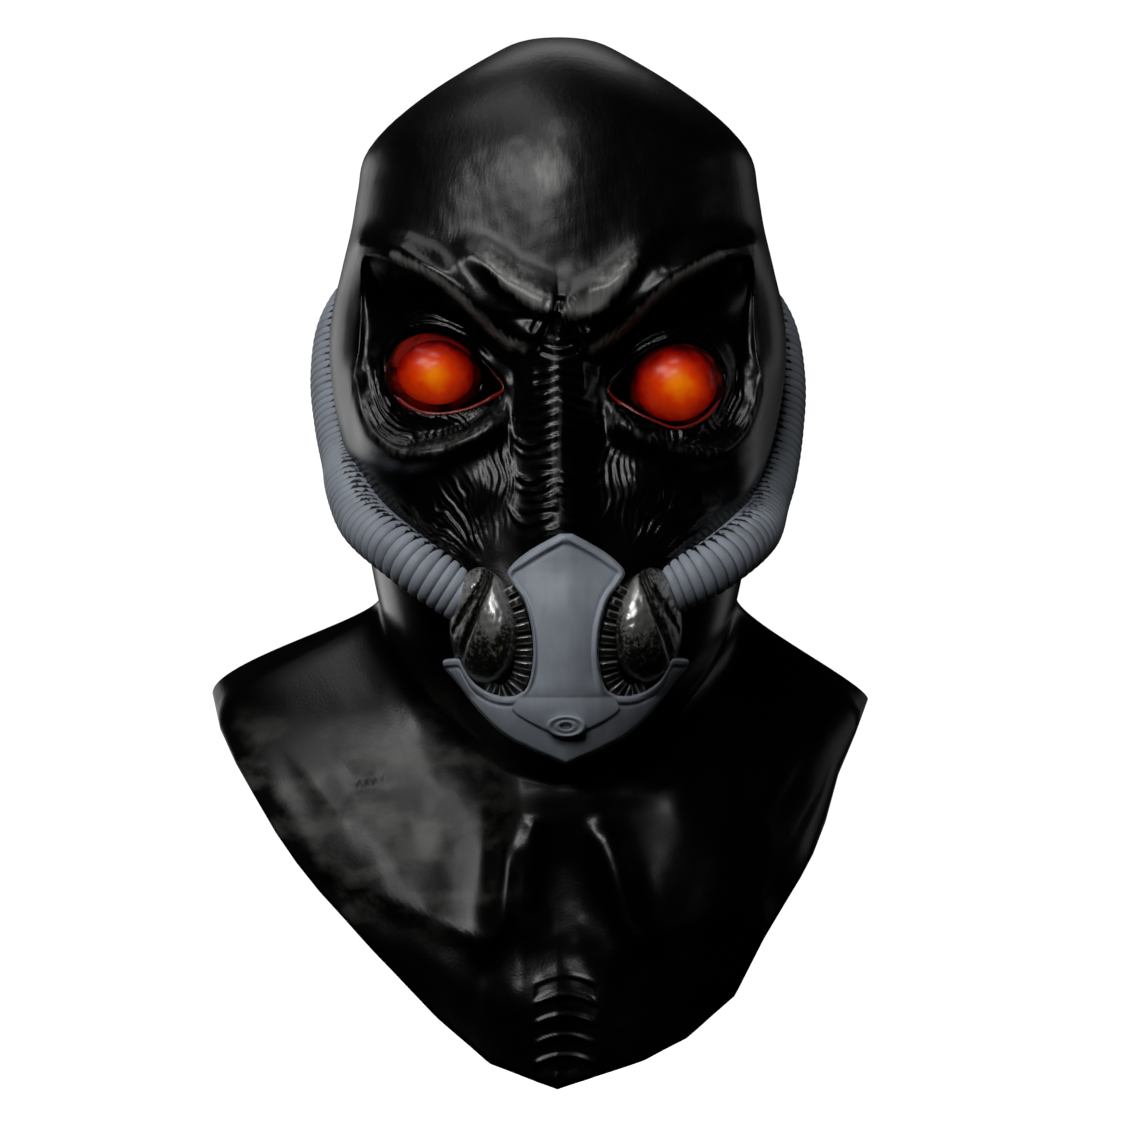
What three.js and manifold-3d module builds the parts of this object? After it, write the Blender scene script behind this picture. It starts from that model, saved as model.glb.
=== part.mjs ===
// A full-head alien mask of cast latex with a chest bib, and the pieces fixed to its face:
// two domed eyes, a respirator of centre plate, jaw guard, filter pods, vent combs and valve,
// and two breathing hoses that run round the jaw to the back of the head.
// Millimetres, +Z up. The face looks along -Y and the wearer's left is +X.
// The origin is the inside of the crown, where the wearer's head carries the mask.
import * as THREE from "three";
import { mergeVertices } from "three/addons/utils/BufferGeometryUtils.js";
import Module from "manifold-3d";

// Skin of the head
const WALL = 2.5; // latex
const HEAD_WIDTH = 218; // over the cheeks
const HEAD_HEIGHT = 268; // crown to the neck's root at the side
const FACE_HEIGHT = 353; // crown to the throat under the chin
const FACE_REACH = 118; // ear line to the muzzle
const NAPE_REACH = 108; // ear line to the back of the head
const JAW_HANG = 1.3; // how closely the low rows of the face keep to its middle

// Bib
const BIB_DROP = 492; // crown to the point of the chest
const BIB_RIGHT = 166; // middle to the wearer's right shoulder
const BIB_LEFT = 149; // middle to the left shoulder, which is cut shorter
const CHEST_REACH = 102;
const BACK_REACH = 96;

// Eyes
const EYE_WIDTH = 45;
const EYE_HEIGHT = 41;
const EYE_DEPTH = 36;
const EYE_PROUD = 15; // dome above the floor of its socket
// From the middle and from the crown. The sight hole beside it is over the wearer's own pupil.
const RIGHT_EYE = { across: -57.3, drop: 166, sight: -31.5 };
const LEFT_EYE = { across: 55, drop: 171, sight: 28.5 };
const SIGHT_HOLE_WIDTH = 7;
const SIGHT_HOLE_HEIGHT = 13;
const SIGHT_HOLE_DROP = 174;

// Respirator
const CLEARANCE = 0.3; // between pieces that touch
const RESPIRATOR_SHIFT = 4; // its middle lies this far to the wearer's left
const RESPIRATOR_TOP = 239; // crown to the top of the centre plate
const RESPIRATOR_HEIGHT = 102.5;
const RESPIRATOR_WIDTH = 112;
const PLATE_RISE = 9;
const RIM_RISE = 2; // of the plate's raised edges
const GUARD_RISE = 7;
const POD_WIDTH = 28;
const POD_HEIGHT = 53;
const POD_RISE = 17;
const COMB_WIDTH = 5.5;
const COMB_RISE = 3;
const TOOTH_RISE = 3;
const TOOTH_COUNT = 11;
const VALVE_WIDTH = 18;
const VALVE_HEIGHT = 10.5;
const VALVE_RISE = 3.5;
const VALVE_HOLE = 3.2;
const HOSE_DIAMETER = 25;

// Fineness of the solids
const COLUMNS = 48;
const FACE_CROWDING = 0.55; // share by which the columns gather at the face
const HEAD_ROWS = 26;
const BIB_ROWS = 9;
const HOSE_SIDES = 10;
const HOSE_STEPS = 36;
const GUARD_STEPS = 14;
const POD_STEPS = 8;
const VALVE_SIDES = 12;
const EYE_SIDES = 18;
const EYE_RINGS = 10;
const HOLE_SIDES = 12;

// Level rings of the head from the crown down. Drops are shares of HEAD_HEIGHT at the side and of
// FACE_HEIGHT at the face, the others shares of half HEAD_WIDTH, FACE_REACH and NAPE_REACH.
// box is the power of the ring's outline: 2 is an ellipse, and a larger one is squarer.
const HEAD_SECTIONS = [
  { side: 0.0, front: 0.0, width: 0.0, face: 0.0, nape: 0.0, box: 2.0 },
  { side: 0.008, front: 0.006, width: 0.18, face: 0.19, nape: 0.2, box: 2.0 },
  { side: 0.035, front: 0.021, width: 0.285, face: 0.37, nape: 0.39, box: 2.0 },
  { side: 0.085, front: 0.048, width: 0.48, face: 0.55, nape: 0.57, box: 2.0 },
  { side: 0.145, front: 0.09, width: 0.695, face: 0.7, nape: 0.72, box: 2.05 },
  { side: 0.21, front: 0.145, width: 0.845, face: 0.82, nape: 0.83, box: 2.15 },
  { side: 0.275, front: 0.21, width: 0.878, face: 0.89, nape: 0.91, box: 2.3 },
  { side: 0.345, front: 0.275, width: 0.905, face: 0.925, nape: 0.96, box: 2.5 },
  { side: 0.415, front: 0.34, width: 0.945, face: 0.94, nape: 0.99, box: 2.7 },
  { side: 0.485, front: 0.405, width: 0.985, face: 0.93, nape: 1.0, box: 2.8 },
  { side: 0.555, front: 0.47, width: 1.0, face: 0.93, nape: 0.99, box: 2.8 },
  { side: 0.625, front: 0.545, width: 0.985, face: 0.935, nape: 0.965, box: 2.7 },
  { side: 0.7, front: 0.625, width: 0.95, face: 0.955, nape: 0.925, box: 2.5 },
  { side: 0.77, front: 0.71, width: 0.9, face: 0.98, nape: 0.87, box: 2.35 },
  { side: 0.835, front: 0.8, width: 0.855, face: 1.0, nape: 0.81, box: 2.25 },
  { side: 0.89, front: 0.885, width: 0.825, face: 0.95, nape: 0.76, box: 2.2 },
  { side: 0.935, front: 0.955, width: 0.805, face: 0.8, nape: 0.72, box: 2.15 },
  { side: 0.97, front: 0.985, width: 0.79, face: 0.66, nape: 0.7, box: 2.1 },
  { side: 1.0, front: 1.0, width: 0.785, face: 0.61, nape: 0.69, box: 2.1 },
];

// The bib's cut edge from the point of the chest round to the middle of the back. turn is the
// station's angle in degrees, across a share of the side's shoulder, drop of BIB_DROP, reach of
// CHEST_REACH to the front or BACK_REACH behind, and rise how steeply the sheet meets the edge.
const RIGHT_HEM = [
  { turn: 0, across: 0.0, drop: 1.0, reach: 1.0, rise: 0.4 },
  { turn: 18, across: 0.187, drop: 0.977, reach: 0.96, rise: 0.4 },
  { turn: 32, across: 0.335, drop: 0.935, reach: 0.9, rise: 0.42 },
  { turn: 45, across: 0.494, drop: 0.881, reach: 0.82, rise: 0.45 },
  { turn: 60, across: 0.693, drop: 0.812, reach: 0.68, rise: 0.5 },
  { turn: 69, across: 0.796, drop: 0.766, reach: 0.55, rise: 0.5 },
  { turn: 77, across: 0.89, drop: 0.717, reach: 0.4, rise: 0.45 },
  { turn: 83, across: 0.958, drop: 0.682, reach: 0.24, rise: 0.42 },
  { turn: 90, across: 1.0, drop: 0.638, reach: 0.0, rise: 0.34 },
  { turn: 106, across: 0.93, drop: 0.7, reach: -0.42, rise: 0.4 },
  { turn: 128, across: 0.64, drop: 0.775, reach: -0.8, rise: 0.45 },
  { turn: 153, across: 0.3, drop: 0.83, reach: -0.96, rise: 0.45 },
  { turn: 180, across: 0.0, drop: 0.85, reach: -1.0, rise: 0.45 },
];
const LEFT_HEM = [
  { turn: 0, across: 0.0, drop: 1.0, reach: 1.0, rise: 0.4 },
  { turn: 21, across: 0.268, drop: 0.974, reach: 0.95, rise: 0.4 },
  { turn: 33, across: 0.398, drop: 0.954, reach: 0.91, rise: 0.42 },
  { turn: 43, across: 0.547, drop: 0.916, reach: 0.85, rise: 0.45 },
  { turn: 52, across: 0.64, drop: 0.864, reach: 0.76, rise: 0.5 },
  { turn: 63, across: 0.756, drop: 0.811, reach: 0.62, rise: 0.5 },
  { turn: 72, across: 0.828, drop: 0.775, reach: 0.47, rise: 0.5 },
  { turn: 79, across: 0.888, drop: 0.717, reach: 0.3, rise: 0.4 },
  { turn: 84, across: 0.948, drop: 0.68, reach: 0.16, rise: 0.35 },
  { turn: 90, across: 1.0, drop: 0.644, reach: 0.0, rise: 0.15 },
  { turn: 106, across: 0.94, drop: 0.7, reach: -0.42, rise: 0.4 },
  { turn: 128, across: 0.66, drop: 0.775, reach: -0.8, rise: 0.45 },
  { turn: 153, across: 0.32, drop: 0.83, reach: -0.96, rise: 0.45 },
  { turn: 180, across: 0.0, drop: 0.85, reach: -1.0, rise: 0.45 },
];
const NECK_FALL = 0.22; // share of the drop to the edge that the sheet falls straight first

// Forms sculpted on both halves of the face. Each lies along a line of points whose first number
// is a share of half HEAD_WIDTH and second a share of FACE_HEIGHT below the crown. spread is the
// half width of the form and rise its height, both shares of FACE_REACH.
const FACE_FORMS = [
  { name: "forehead_keel", spread: 0.2, rise: 0.02, line: [[0, 0.14], [0, 0.33]] },
  { name: "forehead_lip", spread: 0.08, rise: 0.05, line: [[0.36, 0.325], [0.22, 0.36], [0.04, 0.378]] },
  { name: "brow", spread: 0.07, rise: 0.085,
    line: [[0.84, 0.3], [0.66, 0.312], [0.47, 0.345], [0.3, 0.39], [0.15, 0.42]] },
  { name: "brow_hollow", spread: 0.13, rise: -0.08, line: [[0.84, 0.37], [0.6, 0.4], [0.36, 0.44]] },
  { name: "socket", spread: 0.2, rise: -0.13, line: [[0.62, 0.47], [0.44, 0.48]] },
  { name: "tear_pit", spread: 0.08, rise: -0.06, line: [[0.3, 0.49], [0.26, 0.5]] },
  { name: "eye_bag", spread: 0.07, rise: 0.06,
    line: [[0.86, 0.47], [0.8, 0.545], [0.64, 0.585], [0.46, 0.578], [0.28, 0.54]] },
  { name: "nose", spread: 0.1, rise: 0.08, line: [[0, 0.42], [0, 0.66]] },
  { name: "cheek", spread: 0.22, rise: 0.025, line: [[0.62, 0.64], [0.56, 0.68]] },
  { name: "muzzle", spread: 0.36, rise: 0.1, line: [[0.04, 0.78], [0.04, 0.88]] },
];

// Forms of the throat and chest, in shares of half HEAD_WIDTH and of BIB_DROP below the crown.
const CHEST_FORMS = [
  { name: "right_tendon", spread: 0.07, rise: 0.05, line: [[-0.2, 0.78], [-0.26, 0.84], [-0.3, 0.87]] },
  { name: "left_tendon", spread: 0.07, rise: 0.05, line: [[0.2, 0.77], [0.27, 0.82], [0.34, 0.86]] },
  { name: "throat_notch", spread: 0.14, rise: -0.04, line: [[0.02, 0.8], [0.02, 0.87]] },
  { name: "right_breast", spread: 0.18, rise: 0.04, line: [[-0.9, 0.76], [-0.66, 0.82], [-0.48, 0.85]] },
  { name: "left_breast", spread: 0.18, rise: 0.04, line: [[0.92, 0.75], [0.7, 0.81], [0.52, 0.84]] },
  { name: "breastbone", spread: 0.12, rise: 0.02, line: [[0.02, 0.92], [0.02, 0.99]] },
];

// Outlines of the respirator's plates: down is a share of RESPIRATOR_HEIGHT from its top, and
// the half widths are shares of half RESPIRATOR_WIDTH.
const PLATE_ROWS = [
  { down: 0.0, half: 0.05, proud: 0.55, rim: 0.0 },
  { down: 0.05, half: 0.22, proud: 0.7, rim: 0.6 },
  { down: 0.1, half: 0.36, proud: 0.8, rim: 1.0 },
  { down: 0.165, half: 0.47, proud: 0.85, rim: 1.0 },
  { down: 0.22, half: 0.43, proud: 0.9, rim: 1.0 },
  { down: 0.29, half: 0.34, proud: 0.95, rim: 1.0 },
  { down: 0.4, half: 0.28, proud: 1.0, rim: 1.0 },
  { down: 0.51, half: 0.262, proud: 1.05, rim: 1.0 },
  { down: 0.62, half: 0.285, proud: 1.1, rim: 1.0 },
  { down: 0.715, half: 0.34, proud: 1.15, rim: 1.0 },
  { down: 0.76, half: 0.383, proud: 1.15, rim: 1.0 },
  { down: 0.8, half: 0.3, proud: 1.15, rim: 1.0 },
  { down: 0.85, half: 0.175, proud: 1.15, rim: 0.5 },
  { down: 0.89, half: 0.03, proud: 1.15, rim: 0.0 },
];
// The jaw guard from its middle out to one tip.
const GUARD_ROWS = [
  { across: 0.0, top: 0.897, foot: 1.0, proud: 1.0 },
  { across: 0.175, top: 0.857, foot: 0.97, proud: 1.0 },
  { across: 0.36, top: 0.785, foot: 0.915, proud: 1.0 },
  { across: 0.54, top: 0.735, foot: 0.845, proud: 0.95 },
  { across: 0.72, top: 0.68, foot: 0.765, proud: 0.85 },
  { across: 0.88, top: 0.6, foot: 0.67, proud: 0.7 },
  { across: 1.0, top: 0.535, foot: 0.57, proud: 0.5 },
];
const FOOT_SHARE = 0.3; // of the guard's rise that is left at its foot
const EDGE_FALL = 0.35; // of the plate's rise that its edges lose
const POD_TAPER = 0.2;
// One tooth of a comb along its own pitch.
const TOOTH_PROFILE = [
  { at: 0.06, raised: 0 },
  { at: 0.18, raised: 1 },
  { at: 0.68, raised: 1 },
  { at: 0.8, raised: 0 },
];
// A vent comb beside the plate, from its top round under the pod.
const COMB_ROWS = [
  { across: 0.49, down: 0.235 },
  { across: 0.405, down: 0.33 },
  { across: 0.35, down: 0.45 },
  { across: 0.345, down: 0.57 },
  { across: 0.4, down: 0.66 },
  { across: 0.52, down: 0.705 },
  { across: 0.66, down: 0.675 },
];
const POD_PLACE = { across: 0.655, down: 0.405, lean: 8 }; // lean in degrees
const VALVE_DOWN = 0.843;

// The hoses' routes from pod to nape: turn in degrees from the face, drop a share of the drop to
// the pods' middle, and lift the centre line's height over the skin as a share of the diameter.
const RIGHT_HOSE = [
  { turn: 21, drop: 0.955, lift: 0.25 },
  { turn: 29, drop: 0.932, lift: 0.3 },
  { turn: 37, drop: 0.904, lift: 0.25 },
  { turn: 45, drop: 0.875, lift: 0.18 },
  { turn: 53, drop: 0.844, lift: 0.08 },
  { turn: 63, drop: 0.798, lift: 0.0 },
  { turn: 75, drop: 0.738, lift: 0.0 },
  { turn: 87, drop: 0.664, lift: 0.0 },
  { turn: 98, drop: 0.578, lift: -0.02 },
  { turn: 110, drop: 0.487, lift: -0.04 },
  { turn: 125, drop: 0.416, lift: -0.02 },
  { turn: 142, drop: 0.382, lift: 0.03 },
  { turn: 155, drop: 0.392, lift: -0.1 },
  { turn: 163, drop: 0.401, lift: -0.55 },
];
const LEFT_HOSE = [
  { turn: 26, drop: 0.941, lift: 0.25 },
  { turn: 34, drop: 0.924, lift: 0.3 },
  { turn: 42, drop: 0.903, lift: 0.25 },
  { turn: 50, drop: 0.874, lift: 0.18 },
  { turn: 58, drop: 0.841, lift: 0.12 },
  { turn: 68, drop: 0.801, lift: 0.12 },
  { turn: 79, drop: 0.747, lift: 0.14 },
  { turn: 90, drop: 0.669, lift: 0.08 },
  { turn: 100, drop: 0.583, lift: 0.0 },
  { turn: 113, drop: 0.487, lift: -0.04 },
  { turn: 127, drop: 0.416, lift: -0.02 },
  { turn: 142, drop: 0.382, lift: 0.03 },
  { turn: 155, drop: 0.392, lift: -0.1 },
  { turn: 163, drop: 0.401, lift: -0.55 },
];

const wasm = await Module();
wasm.setup();
const { degToRad, lerp, clamp, smoothstep } = THREE.MathUtils;
const CROWN = WALL; // height of the crown's outside
const POD_DROP = RESPIRATOR_TOP + POD_PLACE.down * RESPIRATOR_HEIGHT;
const THROAT_DROP = 0.95 * FACE_HEIGHT; // where the forms of the chest begin
const CHEST_DROP = 1.1 * FACE_HEIGHT; // and where they have their full height
const AXIS_DEPTH = 400; // outside the part in every direction

/** The value of a table's column on a smooth curve, at a place from 0 to 1 down the table. */
function along(table, column, place) {
  const at = place * (table.length - 1);
  const row = Math.min(Math.floor(at), table.length - 2);
  const t = at - row;
  const value = (k) => table[clamp(k, 0, table.length - 1)][column];
  const [a, b, c, d] = [value(row - 1), value(row), value(row + 1), value(row + 2)];
  return b + 0.5 * t * (c - a + t * (2 * a - 5 * b + 4 * c - d + t * (3 * (b - c) + d - a)));
}

/** The rows of the hem on either side of a turn, and the share between them. */
function hemAt(hem, turn) {
  const next = Math.max(1, hem.findIndex((row) => row.turn >= turn));
  const [from, to] = [hem[next - 1], hem[next]];
  const t = (turn - from.turn) / (to.turn - from.turn);
  const mix = (column) => lerp(from[column], to[column], t);
  return { across: mix("across"), drop: mix("drop"), reach: mix("reach"), rise: mix("rise") };
}

/** Distance from a point to a line of points in the plane of the face. */
function distanceTo(x, z, line) {
  let nearest = Infinity;
  for (let i = 1; i < line.length; i++) {
    const [ax, az] = line[i - 1];
    const [bx, bz] = line[i];
    const length = (bx - ax) ** 2 + (bz - az) ** 2;
    const t = clamp(((x - ax) * (bx - ax) + (z - az) * (bz - az)) / length, 0, 1);
    nearest = Math.min(nearest, Math.hypot(x - lerp(ax, bx, t), z - lerp(az, bz, t)));
  }
  return nearest;
}

/** How far a table of forms stands out at x, z. */
function reliefOf(forms, x, z, height) {
  let rise = 0;
  for (const form of forms) {
    const line = form.line.map(([a, d]) => [(a * HEAD_WIDTH) / 2, CROWN - d * height]);
    const off = distanceTo(x, z, line) / (form.spread * FACE_REACH);
    rise += form.rise * FACE_REACH * Math.exp(-off * off);
  }
  return rise;
}

/** A point of the head's outside, at a place from 0, the crown, to 1, the neck's root. */
function headPoint(place, angle) {
  const at = (column) => along(HEAD_SECTIONS, column, place);
  const [sine, cosine] = [Math.sin(angle), Math.cos(angle)];
  const forward = Math.max(0, cosine) ** JAW_HANG;
  const drop = lerp(at("side") * HEAD_HEIGHT, at("front") * FACE_HEIGHT, forward);
  const reach = cosine > 0 ? at("face") * FACE_REACH : at("nape") * NAPE_REACH;
  const power = at("box");
  const across = Math.abs(sine) / ((at("width") * HEAD_WIDTH) / 2);
  const radius = (across ** power + (Math.abs(cosine) / reach) ** power) ** (-1 / power);
  return new THREE.Vector3(radius * sine, -radius * cosine, CROWN - drop);
}

/** A point of the bib's outside, at a place from 0, the neck's root, to 1, the cut edge. */
function bibPoint(place, angle) {
  const root = headPoint(1, angle);
  const left = angle > 0;
  const edge = hemAt(left ? LEFT_HEM : RIGHT_HEM, THREE.MathUtils.radToDeg(Math.abs(angle)));
  const hem = new THREE.Vector3(
    edge.across * (left ? BIB_LEFT : -BIB_RIGHT),
    -edge.reach * (edge.reach > 0 ? CHEST_REACH : BACK_REACH),
    CROWN - edge.drop * BIB_DROP,
  );
  const fall = root.z - hem.z;
  const below = root.clone().setZ(root.z - NECK_FALL * fall);
  const above = hem.clone().setZ(hem.z + edge.rise * fall);
  return new THREE.CubicBezierCurve3(root, below, above, hem).getPoint(place);
}

/** Pushes a point of the outside forward by the forms sculpted there. */
function sculpt(point, angle) {
  const facing = smoothstep(Math.cos(angle), 0.05, 0.4);
  const onChest = smoothstep(CROWN - point.z, THROAT_DROP, CHEST_DROP);
  const rise =
    reliefOf(FACE_FORMS, Math.abs(point.x), point.z, FACE_HEIGHT) +
    reliefOf(CHEST_FORMS, point.x, point.z, BIB_DROP) * onChest;
  point.y -= rise * facing;
  return point;
}

/** The angle of a column, with the columns crowded together at the face. */
function columnAngle(column) {
  const turn = (2 * column) / COLUMNS - 1;
  return Math.PI * (turn * (1 - FACE_CROWDING) + FACE_CROWDING * turn ** 3);
}

/** Rows of points of the skin's outside, below the crown's single point. */
function skinRows() {
  const rows = [];
  for (let r = 1; r <= HEAD_ROWS + BIB_ROWS; r++) {
    const row = [];
    for (let c = 0; c < COLUMNS; c++) {
      const angle = columnAngle(c);
      const point =
        r <= HEAD_ROWS
          ? headPoint(r / HEAD_ROWS, angle)
          : bibPoint((r - HEAD_ROWS) / BIB_ROWS, angle);
      row.push(sculpt(point, angle));
    }
    rows.push(row);
  }
  return rows;
}

/** The triangles of a cap of rows closed in a ring, with the crown as point 0. */
function capTriangles(rowCount, first, outward) {
  const triangles = [];
  const at = (r, c) => first + 1 + r * COLUMNS + (c % COLUMNS);
  const add = (a, b, c) => triangles.push(...(outward ? [a, b, c] : [a, c, b]));
  for (let c = 0; c < COLUMNS; c++) {
    add(first, at(0, c), at(0, c + 1));
    for (let r = 1; r < rowCount; r++) {
      add(at(r - 1, c), at(r, c), at(r, c + 1));
      add(at(r - 1, c), at(r, c + 1), at(r - 1, c + 1));
    }
  }
  return triangles;
}

function meshGeometry(points, triangles) {
  const geometry = new THREE.BufferGeometry().setFromPoints(points);
  geometry.setIndex(triangles);
  return geometry;
}

/** The outside of the skin moved along its normals, crown first. */
function outsidePoints(offset) {
  const rows = skinRows();
  const points = [new THREE.Vector3(0, 0, CROWN), ...rows.flat()];
  const geometry = meshGeometry(points, capTriangles(rows.length, 0, true));
  geometry.computeVertexNormals();
  const normals = geometry.getAttribute("normal");
  return points.map((point, i) =>
    point.clone().addScaledVector(new THREE.Vector3().fromBufferAttribute(normals, i), offset),
  );
}

const SKIN_ROWS = HEAD_ROWS + BIB_ROWS;

/** The thin skin: outside, inside and the cut edge between them. */
function skinGeometry() {
  const outside = outsidePoints(0);
  const inside = outsidePoints(-WALL);
  const triangles = [
    ...capTriangles(SKIN_ROWS, 0, true),
    ...capTriangles(SKIN_ROWS, outside.length, false),
  ];
  const edge = 1 + (SKIN_ROWS - 1) * COLUMNS;
  for (let c = 0; c < COLUMNS; c++) {
    const next = (c + 1) % COLUMNS;
    const [a, b] = [edge + c, edge + next];
    triangles.push(a, a + outside.length, b + outside.length, a, b + outside.length, b);
  }
  return meshGeometry([...outside, ...inside], triangles);
}

/** The skin's outside grown by an offset and filled in, for cutting seats. */
function blankGeometry(offset) {
  const outside = outsidePoints(offset);
  const middle = outside.length;
  const edge = 1 + (SKIN_ROWS - 1) * COLUMNS;
  const triangles = capTriangles(SKIN_ROWS, 0, true);
  for (let c = 0; c < COLUMNS; c++) {
    triangles.push(edge + c, middle, edge + ((c + 1) % COLUMNS));
  }
  return meshGeometry([...outside, new THREE.Vector3(0, 0, CROWN - HEAD_HEIGHT)], triangles);
}

function solidOf(geometry) {
  const bare = new THREE.BufferGeometry();
  const whole = geometry.index ? geometry.toNonIndexed() : geometry;
  bare.setAttribute("position", whole.getAttribute("position"));
  const merged = mergeVertices(bare, 1e-4);
  return new wasm.Manifold(
    new wasm.Mesh({
      numProp: 3,
      vertProperties: new Float32Array(merged.getAttribute("position").array),
      triVerts: new Uint32Array(merged.index.array),
    }),
  );
}

function geometryOf(solid) {
  const mesh = solid.getMesh();
  const geometry = new THREE.BufferGeometry();
  geometry.setAttribute("position", new THREE.BufferAttribute(mesh.vertProperties, mesh.numProp));
  geometry.setIndex(new THREE.BufferAttribute(mesh.triVerts, 1));
  return geometry;
}

/** The largest of the bodies that a cut leaves. */
function mainBody(solid) {
  return solid.decompose().reduce((a, b) => (a.volume() > b.volume() ? a : b));
}

const outsideMesh = new THREE.Mesh(
  meshGeometry(outsidePoints(0), capTriangles(SKIN_ROWS, 0, true)),
  new THREE.MeshBasicMaterial({ side: THREE.DoubleSide }),
);
outsideMesh.updateMatrixWorld(true);
const probe = new THREE.Raycaster();

/** Where a line of sight from outside first meets the skin. */
function skinHit(from, toward) {
  probe.set(from, toward.clone().sub(from).normalize());
  return probe.intersectObject(outsideMesh)[0].point;
}

/** How far forward the skin lies at x, z: a negative y. */
function faceY(x, z) {
  return skinHit(new THREE.Vector3(x, -AXIS_DEPTH, z), new THREE.Vector3(x, 0, z)).y;
}

/** A closed solid over a patch: rows of {x, z, rise}, from the skin's inside to rise above it. */
function reliefSolid(rows) {
  const columns = rows[0].length;
  const points = [];
  for (const row of rows) {
    for (const { x, z, rise } of row) {
      points.push(new THREE.Vector3(x, faceY(x, z) - rise, z));
    }
  }
  const count = points.length;
  for (const point of points.slice()) {
    points.push(new THREE.Vector3(point.x, faceY(point.x, point.z) + WALL, point.z));
  }
  const triangles = [];
  const quad = (a, b, c, d) => triangles.push(a, b, c, a, c, d);
  for (let r = 0; r + 1 < rows.length; r++) {
    for (let c = 0; c + 1 < columns; c++) {
      const [a, b] = [r * columns + c, r * columns + c + 1];
      quad(a, a + columns, b + columns, b);
      quad(count + a, count + b, count + b + columns, count + a + columns);
    }
    const [first, last] = [r * columns, r * columns + columns - 1];
    quad(first, count + first, count + first + columns, first + columns);
    quad(last, last + columns, count + last + columns, count + last);
  }
  const foot = (rows.length - 1) * columns;
  for (let c = 0; c + 1 < columns; c++) {
    quad(c, c + 1, count + c + 1, count + c);
    quad(foot + c, count + foot + c, count + foot + c + 1, foot + c + 1);
  }
  return solidOf(meshGeometry(points, triangles));
}

const seatCutter = solidOf(blankGeometry(CLEARANCE));

/** What of a solid lies outside the skin and clear of its neighbours: one body. */
function seated(solid, ...neighbours) {
  const cut = neighbours.reduce((rest, other) => rest.subtract(other), solid);
  return mainBody(cut.subtract(seatCutter));
}

/** A place on the respirator as x and z, from shares of its half width and height. */
function respiratorPlace(across, down) {
  return {
    x: RESPIRATOR_SHIFT + (across * RESPIRATOR_WIDTH) / 2,
    z: CROWN - RESPIRATOR_TOP - down * RESPIRATOR_HEIGHT,
  };
}

/** The centre plate, with a keel down its middle and a rim at each side. */
function plateSolid(grow) {
  const steps = [
    { side: -1, raised: 1 },
    { side: -0.84, raised: 1 },
    { side: -0.72, raised: 0 },
    { side: 0, raised: 0 },
    { side: 0.72, raised: 0 },
    { side: 0.84, raised: 1 },
    { side: 1, raised: 1 },
  ];
  const last = PLATE_ROWS.length - 1;
  const rows = PLATE_ROWS.map(({ down, half, proud, rim }, r) => {
    const middle = respiratorPlace(0, down);
    const end = r === 0 ? grow : r === last ? -grow : 0;
    return steps.map(({ side, raised }) => ({
      x: middle.x + (side * half * RESPIRATOR_WIDTH) / 2 + Math.trunc(side) * grow,
      z: middle.z + end,
      rise: PLATE_RISE * proud * (1 - EDGE_FALL * Math.abs(side)) + raised * rim * RIM_RISE + grow,
    }));
  });
  return reliefSolid(rows);
}

/** The guard under the jaw, from the wearer's left tip to the right. */
function guardSolid(grow) {
  const half = GUARD_STEPS / 2;
  const rows = [];
  for (let s = half; s >= -half; s--) {
    const place = Math.abs(s) / half;
    const at = (column) => along(GUARD_ROWS, column, place);
    const { x, z } = respiratorPlace(Math.sign(s) * at("across"), at("top"));
    const foot = respiratorPlace(0, at("foot")).z;
    const out = Math.abs(s) === half ? Math.sign(s) * grow : 0;
    rows.push([
      { x: x + out, z: z + grow, rise: GUARD_RISE * at("proud") + grow },
      { x: x + out, z: lerp(z, foot, 0.5), rise: GUARD_RISE * at("proud") + grow },
      { x: x + out, z: foot - grow, rise: GUARD_RISE * at("proud") * FOOT_SHARE + grow },
    ]);
  }
  return reliefSolid(rows);
}

/** One filter pod: a leaning dome, fuller at its foot. side is 1 on the wearer's left. */
function podSolid(side, grow) {
  const lean = degToRad(POD_PLACE.lean) * side;
  const middle = respiratorPlace(POD_PLACE.across * side, POD_PLACE.down);
  const [halfWidth, halfHeight] = [POD_WIDTH / 2 + grow, POD_HEIGHT / 2 + grow];
  const rows = [];
  for (let r = 0; r <= POD_STEPS; r++) {
    const v = 1 - (2 * r) / POD_STEPS;
    const row = [];
    for (let c = 0; c <= POD_STEPS; c++) {
      const h = (2 * c) / POD_STEPS - 1;
      // A square grid drawn in to a round outline.
      const [across, up] = [h * Math.sqrt(1 - (v * v) / 2), v * Math.sqrt(1 - (h * h) / 2)];
      const px = across * halfWidth * (1 - POD_TAPER * up);
      const pz = up * halfHeight;
      const dome = Math.sqrt(Math.max(0, 1 - across * across - up * up));
      row.push({
        x: middle.x + px * Math.cos(lean) + pz * Math.sin(lean),
        z: middle.z + pz * Math.cos(lean) - px * Math.sin(lean),
        rise: POD_RISE * dome + grow,
      });
    }
    rows.push(row);
  }
  return reliefSolid(rows);
}

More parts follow.
